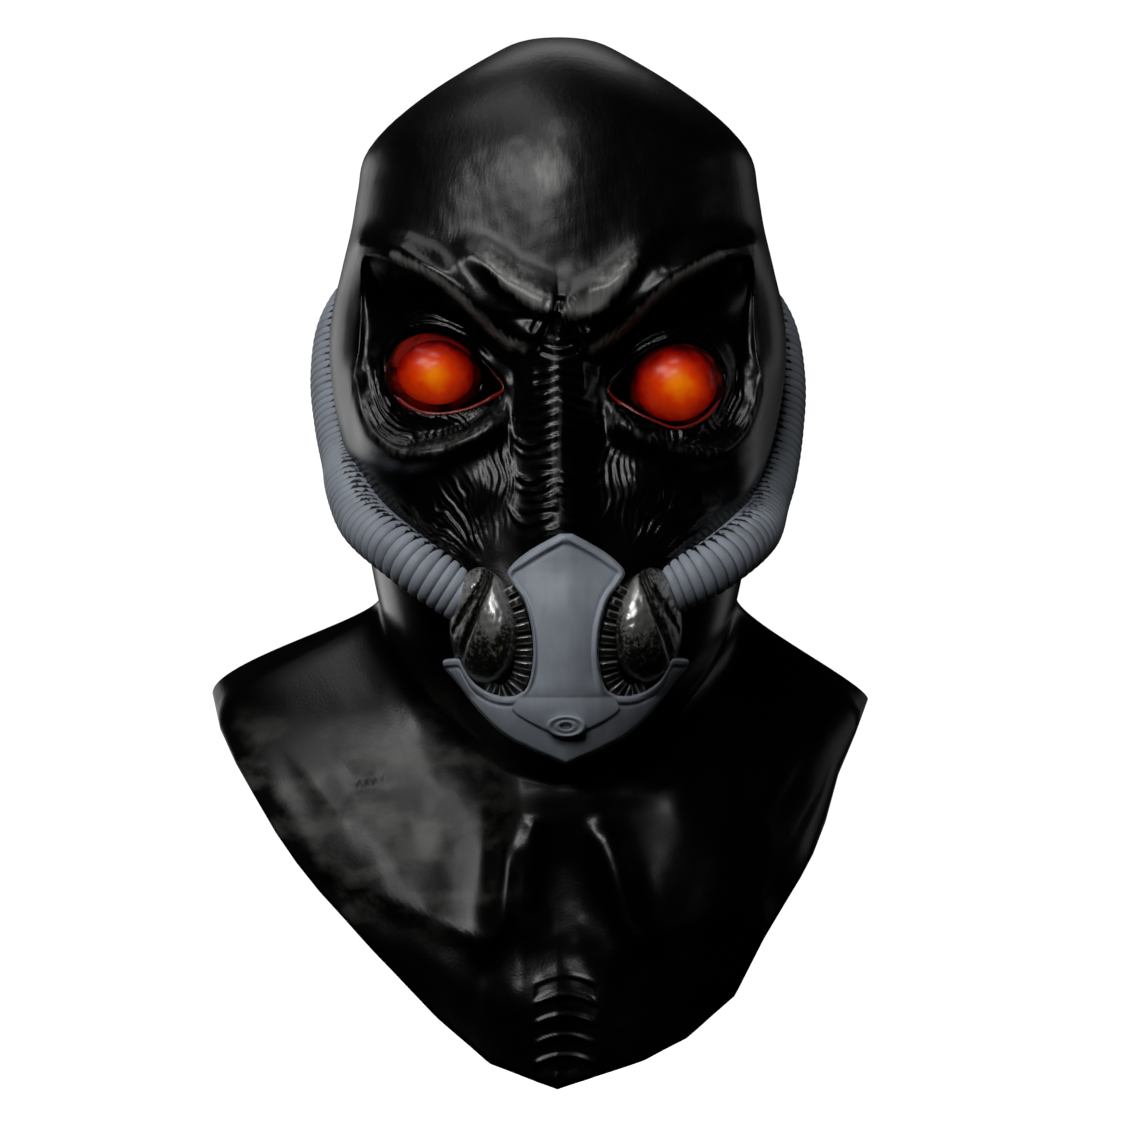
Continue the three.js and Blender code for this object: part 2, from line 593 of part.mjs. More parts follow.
/** A curved strip of teeth between plate and pod. */
function combSolid(side) {
  const path = new THREE.CatmullRomCurve3(
    COMB_ROWS.map(({ across, down }) => {
      const { x, z } = respiratorPlace(across * side, down);
      return new THREE.Vector3(x, 0, z);
    }),
  );
  const rows = [];
  for (let tooth = 0; tooth < TOOTH_COUNT; tooth++) {
    for (const { at, raised } of TOOTH_PROFILE) {
      const place = (tooth + at) / TOOTH_COUNT;
      const point = path.getPointAt(place);
      const tangent = path.getTangentAt(place);
      const rise = COMB_RISE + raised * TOOTH_RISE;
      // Across the strip, from the plate's side to the pod's.
      const [ax, az] = [(tangent.z * COMB_WIDTH) / 2, (-tangent.x * COMB_WIDTH) / 2];
      rows.push([
        { x: point.x + ax, z: point.z + az, rise },
        { x: point.x - ax, z: point.z - az, rise },
      ]);
    }
  }
  return reliefSolid(rows);
}

/** The oval valve boss at the plate's foot, with its hole. */
function valveSolid() {
  const { x, z } = respiratorPlace(0, VALVE_DOWN);
  // The face falls away under the boss, so its upper part sets how far forward it stands.
  const front = faceY(x, z + VALVE_HEIGHT / 4) - PLATE_RISE * PLATE_ROWS.at(-1).proud;
  const rim = new THREE.LatheGeometry(
    [
      [0, 0],
      [1, 0],
      [1, 0.45],
      [0.8, 1],
      [0.55, 0.8],
      [0, 0.8],
    ].map(([r, h]) => new THREE.Vector2(r, h)),
    VALVE_SIDES,
  );
  const depth = VALVE_RISE + PLATE_RISE / 2;
  rim.rotateX(Math.PI);
  rim.scale(VALVE_WIDTH / 2, depth, VALVE_HEIGHT / 2);
  rim.translate(x, front + PLATE_RISE / 2, z);
  const hole = new THREE.CylinderGeometry(VALVE_HOLE / 2, VALVE_HOLE / 2, depth * 2, VALVE_SIDES);
  hole.translate(x, front, z);
  return solidOf(rim).subtract(solidOf(hole));
}

/** A hose's round section run along its route on the skin. */
function hoseSolid(route, side) {
  const points = route.map(({ turn, drop, lift }) => {
    const angle = degToRad(turn) * side;
    const out = new THREE.Vector3(Math.sin(angle), -Math.cos(angle), 0);
    const middle = new THREE.Vector3(0, 0, CROWN - drop * POD_DROP);
    const skin = skinHit(middle.clone().addScaledVector(out, AXIS_DEPTH), middle);
    return skin.addScaledVector(out, lift * HOSE_DIAMETER);
  });
  const section = new THREE.Shape();
  for (let i = 0; i < HOSE_SIDES; i++) {
    const angle = (2 * Math.PI * i) / HOSE_SIDES;
    const [x, y] = [Math.cos(angle), Math.sin(angle)].map((v) => (v * HOSE_DIAMETER) / 2);
    if (i === 0) section.moveTo(x, y);
    else section.lineTo(x, y);
  }
  section.closePath();
  return solidOf(
    new THREE.ExtrudeGeometry(section, {
      steps: HOSE_STEPS,
      extrudePath: new THREE.CatmullRomCurve3(points),
    }),
  );
}

/** A domed eye on the floor of its socket. */
function eyeSolid({ across, drop }) {
  const z = CROWN - drop;
  const dome = new THREE.SphereGeometry(1, EYE_SIDES, EYE_RINGS);
  dome.scale(EYE_WIDTH / 2, EYE_DEPTH / 2, EYE_HEIGHT / 2);
  dome.translate(across, faceY(across, z) - EYE_PROUD + EYE_DEPTH / 2, z);
  return solidOf(dome);
}

/** The skin with its two sight holes. */
function skinSolid() {
  let skin = solidOf(skinGeometry());
  for (const { sight } of [RIGHT_EYE, LEFT_EYE]) {
    const [x, z] = [sight, CROWN - SIGHT_HOLE_DROP];
    const hole = new THREE.CylinderGeometry(0.5, 0.5, FACE_REACH / 2, HOLE_SIDES);
    hole.scale(SIGHT_HOLE_WIDTH, 1, SIGHT_HOLE_HEIGHT);
    hole.translate(x, faceY(x, z), z);
    skin = skin.subtract(solidOf(hole));
  }
  return skin;
}

const finish = (color, roughness, metalness) =>
  new THREE.MeshStandardMaterial({ color, roughness, metalness });
const BLACK_LATEX = finish(0x0b0b0d, 0.35, 0);
const GREY_PAINT = finish(0x6f7a88, 0.6, 0);
const DARK_SILVER = finish(0x4b4b48, 0.4, 0.6);
const GLOWING_ORANGE = finish(0xd63a0a, 0.2, 0);

const mask = new THREE.Group();

function add(name, solid, material) {
  const mesh = new THREE.Mesh(geometryOf(solid), material);
  mesh.name = name;
  mask.add(mesh);
}

const plateRoom = plateSolid(CLEARANCE);
const guardRoom = guardSolid(CLEARANCE);
add("mask_skin", skinSolid(), BLACK_LATEX);
add("centre_plate", seated(plateSolid(0)), GREY_PAINT);
add("valve_boss", seated(valveSolid(), plateRoom, guardRoom), GREY_PAINT);
const podRooms = [podSolid(-1, CLEARANCE), podSolid(1, CLEARANCE)];
add("jaw_guard", seated(guardSolid(0), plateRoom, ...podRooms), GREY_PAINT);
for (const { side, name, eye, route, podRoom } of [
  { side: -1, name: "right", eye: RIGHT_EYE, route: RIGHT_HOSE, podRoom: podRooms[0] },
  { side: 1, name: "left", eye: LEFT_EYE, route: LEFT_HOSE, podRoom: podRooms[1] },
]) {
  add(`${name}_eye`, seated(eyeSolid(eye)), GLOWING_ORANGE);
  add(`${name}_filter_pod`, seated(podSolid(side, 0), plateRoom), DARK_SILVER);
  add(`${name}_vent_comb`, seated(combSolid(side), plateRoom, guardRoom, podRoom), DARK_SILVER);
  add(`${name}_hose`, seated(hoseSolid(route, side), podRoom, guardRoom), GREY_PAINT);
}

export default mask;
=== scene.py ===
"""A full-head alien mask of black cast latex with a chest bib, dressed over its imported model.

Lengths in this file are millimetres until a mesh is made. +Z is up, the face looks along -Y and
the wearer's left is +X. The origin is the inside of the crown.
"""

import logging
import math
from dataclasses import dataclass, field
from enum import Enum

import bmesh
import bpy
import numpy as np
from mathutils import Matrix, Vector
from mathutils.bvhtree import BVHTree


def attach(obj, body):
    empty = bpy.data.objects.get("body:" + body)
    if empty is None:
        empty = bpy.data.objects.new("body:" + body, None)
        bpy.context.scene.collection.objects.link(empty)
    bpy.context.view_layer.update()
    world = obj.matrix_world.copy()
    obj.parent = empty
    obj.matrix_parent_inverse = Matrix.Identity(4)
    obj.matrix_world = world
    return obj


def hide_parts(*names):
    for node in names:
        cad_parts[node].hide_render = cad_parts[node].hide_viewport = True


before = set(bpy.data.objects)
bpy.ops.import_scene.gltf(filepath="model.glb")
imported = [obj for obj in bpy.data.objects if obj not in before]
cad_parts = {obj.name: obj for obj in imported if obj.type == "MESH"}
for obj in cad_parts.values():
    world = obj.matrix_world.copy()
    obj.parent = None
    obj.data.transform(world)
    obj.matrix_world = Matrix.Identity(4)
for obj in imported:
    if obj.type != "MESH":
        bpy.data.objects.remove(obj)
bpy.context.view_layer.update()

LOG = logging.getLogger("mask")
MM = 0.001
RAY_START = 400.0  # outside the mask on every side
STRAND_DRAWS = 97
Array = np.ndarray
Colour = tuple[float, float, float]
Faces = list[tuple[int, ...]]
Pair = tuple[float, float]
Corners = tuple[Pair, ...]


class Side(Enum):
    """A side of the wearer: the sign of its x."""

    RIGHT = -1
    LEFT = 1

    @property
    def label(self) -> str:
        """The side's name as the nodes have it."""
        return self.name.lower()


def smooth(low: float, high: float, value: Array) -> Array:
    """A smooth step from 0 at low to 1 at high."""
    t = np.clip((value - low) / (high - low), 0.0, 1.0)
    return t * t * (3.0 - 2.0 * t)


def between(value: Array, rise: Pair, fall: Pair) -> Array:
    """A smooth window that opens over one span of values and closes over a later one."""
    return smooth(*rise, value) * (1.0 - smooth(*fall, value))


def bell(value: Array, middle: float | Array, width: float | Array) -> Array:
    """A soft bump: 1 at its middle, about a third a width away."""
    return np.exp(-(((value - middle) / width) ** 2))


def along(table: Array, place: Array) -> Array:
    """Every column of a table on a smooth curve, at places from 0 to 1 down the table.

    Args:
        table: Rows of numbers.
        place: Shares of the way down the table.

    Returns:
        A row of columns for each place.
    """
    last = len(table) - 1
    at = np.clip(np.asarray(place, float), 0.0, 1.0) * last
    row = np.clip(np.floor(at).astype(int), 0, last - 1)
    t = (at - row)[..., None]
    a, b, c, d = (table[np.clip(row + k, 0, last)] for k in (-1, 0, 1, 2))
    return b + 0.5 * t * (c - a + t * (2 * a - 5 * b + 4 * c - d + t * (3 * (b - c) + d - a)))


def to_line(x: Array, z: Array, line: Array, closed: bool = False) -> tuple[Array, Array, Array]:
    """Distance from points to a line of points in the plane of the face.

    Args:
        x: Points' places across.
        z: Points' heights.
        line: The line's corners, as rows of x, z.
        closed: Whether the last corner joins the first.

    Returns:
        The distance, the side of the line (1 on its left), and the share of the way along it.
    """
    ends = np.roll(line, -1, axis=0) if closed else line[1:]
    starts = line if closed else line[:-1]
    best = np.full(x.shape, np.inf)
    hand = np.ones(x.shape)
    share = np.zeros(x.shape)
    for k, ((ax, az), (bx, bz)) in enumerate(zip(starts, ends)):
        dx, dz = bx - ax, bz - az
        t = np.clip(((x - ax) * dx + (z - az) * dz) / (dx * dx + dz * dz + 1e-12), 0.0, 1.0)
        off = np.hypot(x - ax - t * dx, z - az - t * dz)
        near = off < best
        best = np.where(near, off, best)
        hand = np.where(near, np.sign(dx * (z - az) - dz * (x - ax) + 1e-12), hand)
        share = np.where(near, (k + t) / len(starts), share)
    return best, hand, share


def close_to(x: Array, z: Array, line: Corners, margin: float) -> Array:
    """Whether points lie within a margin of the box round a line."""
    low, high = np.min(line, axis=0) - margin, np.max(line, axis=0) + margin
    return (x > low[0]) & (x < high[0]) & (z > low[1]) & (z < high[1])


def rounded(corners: Array, count: int, closed: bool = False) -> Array:
    """A smooth line through corners, resampled to count points.

    Args:
        corners: One row for each corner.
        count: Number of points wanted.
        closed: Whether the line closes on itself.

    Returns:
        One row for each point.
    """
    if closed:
        wrapped = np.vstack([corners[-1:], corners, corners[:2]])
        place = (1 + np.arange(count) / count * len(corners)) / (len(wrapped) - 1)
        return along(wrapped, place)
    return along(corners, np.linspace(0.0, 1.0, count))


def follow(x: Array, z: Array, line: Corners, margin: float, tapers: Pair) -> tuple[Array, ...]:
    """Where the points near a smooth line on the face lie.

    Args:
        x: Points' places across.
        z: Points' heights.
        line: Corners of the line.
        margin: Distance round the line's box beyond which points are left out.
        tapers: Shares of the length over which the start and the end fade.

    Returns:
        Whether each point is near, and for those that are the distance, the side, the share of the
        way along, and how far the ends have faded.
    """
    near = close_to(x, z, line, margin)
    off, hand, share = to_line(x[near], z[near], rounded(np.array(line), 16 * len(line)))
    ends = smooth(-1e-6, tapers[0], share) * smooth(-1e-6, tapers[1], 1.0 - share)
    return near, off, hand, share, ends


def band_along(x: Array, z: Array, line: Corners, width: float, count: int = 0) -> Array:
    """A soft band along a line, which is first smoothed to count points if count isn't 0."""
    corners = np.array(line)
    return bell(to_line(x, z, rounded(corners, count) if count else corners)[0], 0.0, width)


def line_length(line: Array) -> Array:
    """How far along a line each of its points lies."""
    return np.concatenate([[0.0], np.cumsum(np.linalg.norm(np.diff(line, axis=0), axis=1))])


def evenly(line: Array, count: int) -> Array:
    """Points at even steps along a line.

    Args:
        line: One row for each point.
        count: Number of points wanted.

    Returns:
        One row for each point.
    """
    length = line_length(line)
    at = np.linspace(0.0, length[-1], count)
    return np.stack([np.interp(at, length, column) for column in line.T], axis=-1)


def ripple(x: Array, z: Array, length: float, seed: int) -> Array:
    """Soft uneven waves of a given length, between about -1 and 1.

    Args:
        x: Points' places across.
        z: Points' heights.
        length: About the length of a wave.
        seed: Seed of their directions.

    Returns:
        A height for each point.
    """
    draw = np.random.default_rng(seed)
    total = np.zeros(x.shape)
    for _ in range(9):
        turn, phase, scale = draw.uniform(0, [2 * math.pi, 2 * math.pi, 1.0])
        wave = 2 * math.pi / (length * (0.6 + 0.9 * scale))
        total += np.sin(wave * (x * math.cos(turn) + z * math.sin(turn)) + phase)
    return total / 3.0


def crests(phase: Array, sharpness: float) -> Array:
    """Waves with narrow crests and wide valleys, one to each whole number of the phase."""
    return (0.5 + 0.5 * np.cos(2 * math.pi * phase)) ** sharpness - 0.35


def strands(phase: Array, run: Array, span: Pair, seed: int, sharpness: float) -> Array:
    """Ridges that start, end and stand out unevenly, one to each whole number of the phase.

    Args:
        phase: Count of ridges across them.
        run: Place along the ridges.
        span: Places between which they lie.
        seed: Seed of their unevenness.
        sharpness: How narrow their crests are.

    Returns:
        Heights from 0 to 1.
    """
    draw = np.random.default_rng(seed).uniform(0, 1, (STRAND_DRAWS, 3))
    late, early, strength = np.moveaxis(draw[np.round(phase).astype(int) % STRAND_DRAWS], -1, 0)
    reach = span[1] - span[0]
    start, end = span[0] + 0.3 * reach * late, span[1] - 0.4 * reach * early
    shown = smooth(0.0, 1.0, (run - start) / (0.2 * reach)) * smooth(0.0, 1.0, (end - run) / (0.3 * reach))
    return (0.5 + 0.5 * np.cos(2 * math.pi * phase)) ** sharpness * shown * (0.45 + 0.55 * strength)


@dataclass(frozen=True)
class Stroke:
    """A ridge or a groove along a line on the face.

    Attributes:
        line: Corners as x, z. The left of the line is its first side.
        rise: Height, negative for a groove.
        left: Half width on the left of the line.
        right: Half width on its right, the same as left if 0.
        mirrored: Whether the other half of the face has it too.
        tapers: Shares of the length over which the start and the end fade.
    """

    line: Corners
    rise: float
    left: float
    right: float = 0.0
    mirrored: bool = True
    tapers: Pair = (0.15, 0.15)

    def height(self, x: Array, z: Array) -> Array:
        """The stroke's height at points of the face.

        Args:
            x: Points' places across.
            z: Points' heights.

        Returns:
            A height for each point.
        """
        x = np.abs(x) if self.mirrored else x
        total = np.zeros(x.shape)
        margin = 3.0 * max(self.left, self.right)
        near, off, hand, _, ends = follow(x, z, self.line, margin, self.tapers)
        spread = np.where(hand > 0, self.left, self.right or self.left)
        total[near] = self.rise * bell(off, 0.0, spread) * ends
        return total


@dataclass(frozen=True)
class Cliff:
    """A crisp edge along a line, from which the form falls away on the line's right.

    Attributes:
        line: Corners as x, z.
        drop: Depth of the fall.
        edge: Distance over which it falls.
        reach: Distances over which the lowered form comes back, at the start and at the end.
        mirrored: Whether the other half of the face has it too.
        tapers: Shares of the length over which the start and the end fade.
    """

    line: Corners
    drop: float
    edge: float
    reach: Pair
    mirrored: bool = True
    tapers: Pair = (0.12, 0.12)

    def height(self, x: Array, z: Array) -> Array:
        """The cliff's height at points of the face.

        Args:
            x: Points' places across.
            z: Points' heights.

        Returns:
            A height for each point.
        """
        x = np.abs(x) if self.mirrored else x
        total = np.zeros(x.shape)
        near, off, hand, share, ends = follow(x, z, self.line, 2.6 * max(self.reach), self.tapers)
        inside = np.where(hand < 0, off, 0.0)
        outside = np.where(hand < 0, 0.0, off)
        reach = self.reach[0] + (self.reach[1] - self.reach[0]) * smooth(0.5, 0.75, share)
        fall = (1 - np.exp(-inside / self.edge)) * bell(inside, 0.0, reach)
        lip = 0.25 * bell(outside, 0.0, 2.5 * self.edge) * np.exp(-inside / self.edge)
        total[near] = self.drop * ends * (lip - fall)
        return total


# Level rings of the head from the crown down: drop at the side, drop at the face, width, reach
# of the face, reach of the nape, and the power of the ring's outline, all but the last as shares.
HEAD_SECTIONS = np.array(
    [
        (0.0, 0.0, 0.0, 0.0, 0.0, 2.0),
        (0.008, 0.006, 0.18, 0.19, 0.2, 2.0),
        (0.035, 0.021, 0.285, 0.37, 0.39, 2.0),
        (0.085, 0.048, 0.48, 0.55, 0.57, 2.0),
        (0.145, 0.09, 0.695, 0.7, 0.72, 2.05),
        (0.21, 0.145, 0.845, 0.82, 0.83, 2.15),
        (0.275, 0.21, 0.878, 0.89, 0.91, 2.3),
        (0.345, 0.275, 0.905, 0.925, 0.96, 2.5),
        (0.415, 0.34, 0.945, 0.94, 0.99, 2.7),
        (0.485, 0.405, 0.985, 0.93, 1.0, 2.8),
        (0.555, 0.47, 1.0, 0.93, 0.99, 2.8),
        (0.625, 0.545, 0.985, 0.935, 0.965, 2.7),
        (0.7, 0.625, 0.95, 0.955, 0.925, 2.5),
        (0.77, 0.71, 0.9, 0.98, 0.87, 2.35),
        (0.835, 0.8, 0.855, 1.0, 0.81, 2.25),
        (0.89, 0.885, 0.825, 0.95, 0.76, 2.2),
        (0.935, 0.955, 0.805, 0.8, 0.72, 2.15),
        (0.97, 0.985, 0.79, 0.66, 0.7, 2.1),
        (1.0, 1.0, 0.785, 0.61, 0.69, 2.1),
    ]
)
# The bib's cut edge from the point of the chest round to the back: turn in degrees, across,
# drop, reach, and how steeply the sheet meets the edge.
RIGHT_HEM = np.array(
    [
        (0, 0.0, 1.0, 1.0, 0.4),
        (18, 0.187, 0.977, 0.96, 0.4),
        (32, 0.335, 0.935, 0.9, 0.42),
        (45, 0.494, 0.881, 0.82, 0.45),
        (60, 0.693, 0.812, 0.68, 0.5),
        (69, 0.796, 0.766, 0.55, 0.5),
        (77, 0.89, 0.717, 0.4, 0.45),
        (83, 0.958, 0.682, 0.24, 0.42),
        (90, 1.0, 0.638, 0.0, 0.34),
        (106, 0.93, 0.7, -0.42, 0.4),
        (128, 0.64, 0.775, -0.8, 0.45),
        (153, 0.3, 0.83, -0.96, 0.45),
        (180, 0.0, 0.85, -1.0, 0.45),
    ]
)
LEFT_HEM = np.array(
    [
        (0, 0.0, 1.0, 1.0, 0.4),
        (21, 0.268, 0.974, 0.95, 0.4),
        (33, 0.398, 0.954, 0.91, 0.42),
        (43, 0.547, 0.916, 0.85, 0.45),
        (52, 0.64, 0.864, 0.76, 0.5),
        (63, 0.756, 0.811, 0.62, 0.5),
        (72, 0.828, 0.775, 0.47, 0.5),
        (79, 0.888, 0.717, 0.3, 0.4),
        (84, 0.948, 0.68, 0.16, 0.35),
        (90, 1.0, 0.644, 0.0, 0.15),
        (106, 0.94, 0.7, -0.42, 0.4),
        (128, 0.66, 0.775, -0.8, 0.45),
        (153, 0.32, 0.83, -0.96, 0.45),
        (180, 0.0, 0.85, -1.0, 0.45),
    ]
)


@dataclass(frozen=True)
class Form:
    """A broad form of the face or chest along a line.

    Attributes:
        spread: Its width, as a share of the face's reach.
        rise: Its height, as a share of the face's reach.
        line: Corners as shares of the head's half width and of the height down from the crown.
    """

    spread: float
    rise: float
    line: Corners


# The forms of the face lie on both halves alike.
FACE_FORMS = (
    Form(0.2, 0.02, ((0, 0.14), (0, 0.33))),  # keel of the forehead
    Form(0.08, 0.05, ((0.36, 0.325), (0.22, 0.36), (0.04, 0.378))),  # lip of the forehead
    Form(0.07, 0.085, ((0.84, 0.3), (0.66, 0.312), (0.47, 0.345), (0.3, 0.39), (0.15, 0.42))),  # brow
    Form(0.13, -0.08, ((0.84, 0.37), (0.6, 0.4), (0.36, 0.44))),  # hollow under the brow
    Form(0.2, -0.13, ((0.62, 0.47), (0.44, 0.48))),  # socket
    Form(0.08, -0.06, ((0.3, 0.49), (0.26, 0.5))),  # pit of the inner corner
    Form(0.07, 0.06, ((0.86, 0.47), (0.8, 0.545), (0.64, 0.585), (0.46, 0.578), (0.28, 0.54))),  # bag
    Form(0.135, 0.085, ((0, 0.43), (0, 0.66))),  # nose
    Form(0.22, 0.025, ((0.62, 0.64), (0.56, 0.68))),  # cheek
    Form(0.36, 0.1, ((0.04, 0.78), (0.04, 0.88))),  # muzzle
)
CHEST_FORMS = (
    Form(0.07, 0.05, ((-0.2, 0.78), (-0.26, 0.84), (-0.3, 0.87))),  # tendon on the right
    Form(0.07, 0.05, ((0.2, 0.77), (0.27, 0.82), (0.34, 0.86))),  # tendon on the left
    Form(0.14, -0.04, ((0.02, 0.8), (0.02, 0.87))),  # hollow between them
    Form(0.18, 0.04, ((-0.9, 0.76), (-0.66, 0.82), (-0.48, 0.85))),  # right collar bone
    Form(0.18, 0.01, ((0.92, 0.75), (0.7, 0.81), (0.52, 0.84))),  # left collar bone
)


def depth_at(tree: BVHTree, x: float, z: float) -> float:
    """The y at which a level ray from the front meets a surface, 0 where it misses."""
    hit = tree.ray_cast(Vector((x, -RAY_START, z)), Vector((0, 1, 0)))[0]
    return hit.y if hit else 0.0


@dataclass
class MaskForm:
    """The shape of the mask's outside, and where other pieces meet it."""

    wall: float = 2.5
    head_width: float = 218.0
    head_height: float = 268.0
    face_height: float = 353.0
    face_reach: float = 118.0
    nape_reach: float = 108.0
    jaw_hang: float = 1.3
    bib_drop: float = 492.0
    bib_right: float = 166.0
    bib_left: float = 149.0
    chest_reach: float = 102.0
    back_reach: float = 96.0
    neck_fall: float = 0.22
    crown_step: float = 0.017
    field_step: float = 1.0
    field_across: Pair = (-108.0, 109.0)
    field_height: Pair = (-345.0, -55.0)
    tree: BVHTree = field(init=False)
    field_x: Array = field(init=False)
    field_z: Array = field(init=False)
    depths: Array = field(init=False)

    def __post_init__(self) -> None:
        """Lays a plain grid over the form and measures the face from the front."""
        rows, columns = 260, 240
        turns = np.linspace(-math.pi, math.pi, columns, endpoint=False)
        points = self.outside(np.linspace(0.01, 2.0, rows), turns)
        self.tree = BVHTree.FromPolygons(points.reshape(-1, 3).tolist(), grid_faces(rows, columns, wrap=True))
        self.field_x = np.arange(*self.field_across, self.field_step)
        self.field_z = np.arange(*self.field_height, self.field_step)
        self.depths = np.array([[depth_at(self.tree, x, z) for x in self.field_x] for z in self.field_z])

    def head(self, place: Array, angle: Array) -> Array:
        """Points of the head's outside, at places from 0 at the crown to 1 at the neck's root.

        Args:
            place: From 0 at the crown to 1 at the neck's root.
            angle: Turns from the face, positive towards the wearer's left.

        Returns:
            A point for each place and angle.
        """
        side, front, width, face, nape, power = np.moveaxis(along(HEAD_SECTIONS, place), -1, 0)
        sine, cosine = np.sin(angle), np.cos(angle)
        forward = np.maximum(0.0, cosine) ** self.jaw_hang
        drop = side * self.head_height * (1 - forward) + front * self.face_height * forward
        reach = np.where(cosine > 0, face * self.face_reach, nape * self.nape_reach)
        across = np.abs(sine) / np.maximum(width * self.head_width / 2, 1e-6)
        deep = np.abs(cosine) / np.maximum(reach, 1e-6)
        radius = (across**power + deep**power) ** (-1 / power)
        return np.stack([radius * sine, -radius * cosine, self.wall - drop], axis=-1)

    def rounded_head(self, place: Array, angle: Array) -> Array:
        """Points of the head with the rings of the crown blended into a round cap.

        Args:
            place: From 0 at the crown to 1 at the neck's root.
            angle: Turns from the face, positive towards the wearer's left.

        Returns:
            A point for each place and angle.
        """
        plain = self.head(place, angle)
        blend = np.zeros_like(plain)
        for step in range(-4, 5):
            at = place + step * self.crown_step
            turned = np.where(at < 0, angle + math.pi, angle)
            blend += math.comb(8, step + 4) / 2**8 * self.head(np.minimum(np.abs(at), 1.0), turned)
        share = (1 - smooth(0.2, 0.34, place))[..., None]
        return plain + (blend - plain) * share

    def bib(self, place: Array, angle: Array) -> Array:
        """Points of the bib's outside, at places from 0 at the neck's root to 1 at the edge.

        Args:
            place: From 0 at the neck's root to 1 at the edge.
            angle: Turns from the face, positive towards the wearer's left.

        Returns:
            A point for each place and angle.
        """
        root = self.head(np.ones_like(place), angle)
        turn = np.degrees(np.abs(angle))
        left = angle > 0
        on_right, on_left = (
            [np.interp(turn, hem[:, 0], column) for column in hem.T[1:]] for hem in (RIGHT_HEM, LEFT_HEM)
        )
        across, drop, reach, rise = np.where(left, on_left, on_right)
        hem = np.stack(
            [
                across * np.where(left, self.bib_left, -self.bib_right),
                -reach * np.where(reach > 0, self.chest_reach, self.back_reach),
                self.wall - drop * self.bib_drop,
            ],
            axis=-1,
        )
        fall = root[..., 2] - hem[..., 2]
        below, above = root.copy(), hem.copy()
        below[..., 2] -= self.neck_fall * fall
        above[..., 2] += rise * fall
        t = place[..., None]
        return (
            (1 - t) ** 3 * root
            + 3 * (1 - t) ** 2 * t * below
            + 3 * (1 - t) * t * t * above
            + t**3 * hem
        )

    def relief(self, forms: tuple[Form, ...], x: Array, z: Array, height: float) -> Array:
        """How far a set of broad forms stands out.

        Args:
            forms: The forms.
            x: Points' places across.
            z: Points' heights.
            height: The height that their lines are shares of.

        Returns:
            A height for each point.
        """
        total = np.zeros(x.shape)
        for form in forms:
            line = np.array(form.line) * (self.head_width / 2, -height) + (0.0, self.wall)
            off = to_line(x, z, line)[0] / (form.spread * self.face_reach)
            total += form.rise * self.face_reach * np.exp(-off * off)
        return total

    def outside(self, places: Array, angles: Array) -> Array:
        """A grid of points of the outside with its broad forms.

        Args:
            places: 0 at the crown, 1 at the neck's root and 2 at the bib's edge.
            angles: Turns from the face, positive towards the wearer's left.

        Returns:
            Points as places by angles by 3.
        """
        return self.surface(*np.meshgrid(places, angles, indexing="ij"))

    def surface(self, place: Array, angle: Array) -> Array:
        """Points of the outside with its broad forms, one for each place and angle.

        Args:
            place: 0 at the crown, 1 at the neck's root and 2 at the bib's edge.
            angle: Turns from the face, positive towards the wearer's left.

        Returns:
            A point for each place and angle.
        """
        head = self.rounded_head(np.minimum(place, 1.0), angle)
        bib = self.bib(np.clip(place - 1.0, 0.0, 1.0), angle)
        points = np.where((place <= 1.0)[..., None], head, bib)
        x, z = points[..., 0], points[..., 2]
        drop = self.wall - z
        on_chest = smooth(0.95 * self.face_height, 1.1 * self.face_height, drop)
        rise = self.relief(FACE_FORMS, np.abs(x), z, self.face_height)
        rise += self.relief(CHEST_FORMS, x, z, self.bib_drop) * on_chest
        points[..., 1] -= rise * self.facing(angle)
        return points

    @staticmethod
    def facing(angle: Array) -> Array:
        """How much a part of the outside belongs to the face, from 0 to 1."""
        return smooth(0.05, 0.4, np.cos(angle))

    def face_y(self, x: Array, z: Array) -> Array:
        """The face's y at points seen from the front.

        Args:
            x: Points' places across.
            z: Points' heights.

        Returns:
            A y for each point.
        """
        i = np.clip((np.asarray(x, float) - self.field_x[0]) / self.field_step, 0, len(self.field_x) - 1.001)
        j = np.clip((np.asarray(z, float) - self.field_z[0]) / self.field_step, 0, len(self.field_z) - 1.001)
        i0, j0 = i.astype(int), j.astype(int)
        u, v = i - i0, j - j0
        low = self.depths[j0, i0] * (1 - u) + self.depths[j0, i0 + 1] * u
        high = self.depths[j0 + 1, i0] * (1 - u) + self.depths[j0 + 1, i0 + 1] * u
        return low * (1 - v) + high * v

    def beside(self, turn: float, z: float, side: Side, lift: float) -> Array:
        """A point over the side of the head, found along a level ray from its axis.

        Args:
            turn: Degrees from the face.
            z: The point's height.
            side: The side of the wearer.
            lift: How far out from the form it lies.

        Returns:
            The point.
        """
        angle = math.radians(turn) * side.value
        out = Vector((math.sin(angle), -math.cos(angle), 0.0))
        hit = self.tree.ray_cast(Vector((0, 0, z)) + out * RAY_START, -out)[0]
        return np.array(hit + out * lift)


def grid_faces(rows: int, columns: int, wrap: bool = False, start: int = 0) -> Faces:
    """The quads of a grid of points, row by row.

    Args:
        rows: Number of rows of points.
        columns: Number of points in a row.
        wrap: Whether each row closes on itself.
        start: Number of the first point.

    Returns:
        Corner numbers of each quad.
    """
    r, c = np.meshgrid(np.arange(rows - 1), np.arange(columns if wrap else columns - 1), indexing="ij")
    a = start + r * columns + c
    b = start + r * columns + (c + 1) % columns
    quads = np.stack([a, a + columns, b + columns, b], axis=-1).reshape(-1, 4)
    return [tuple(quad) for quad in quads.tolist()]


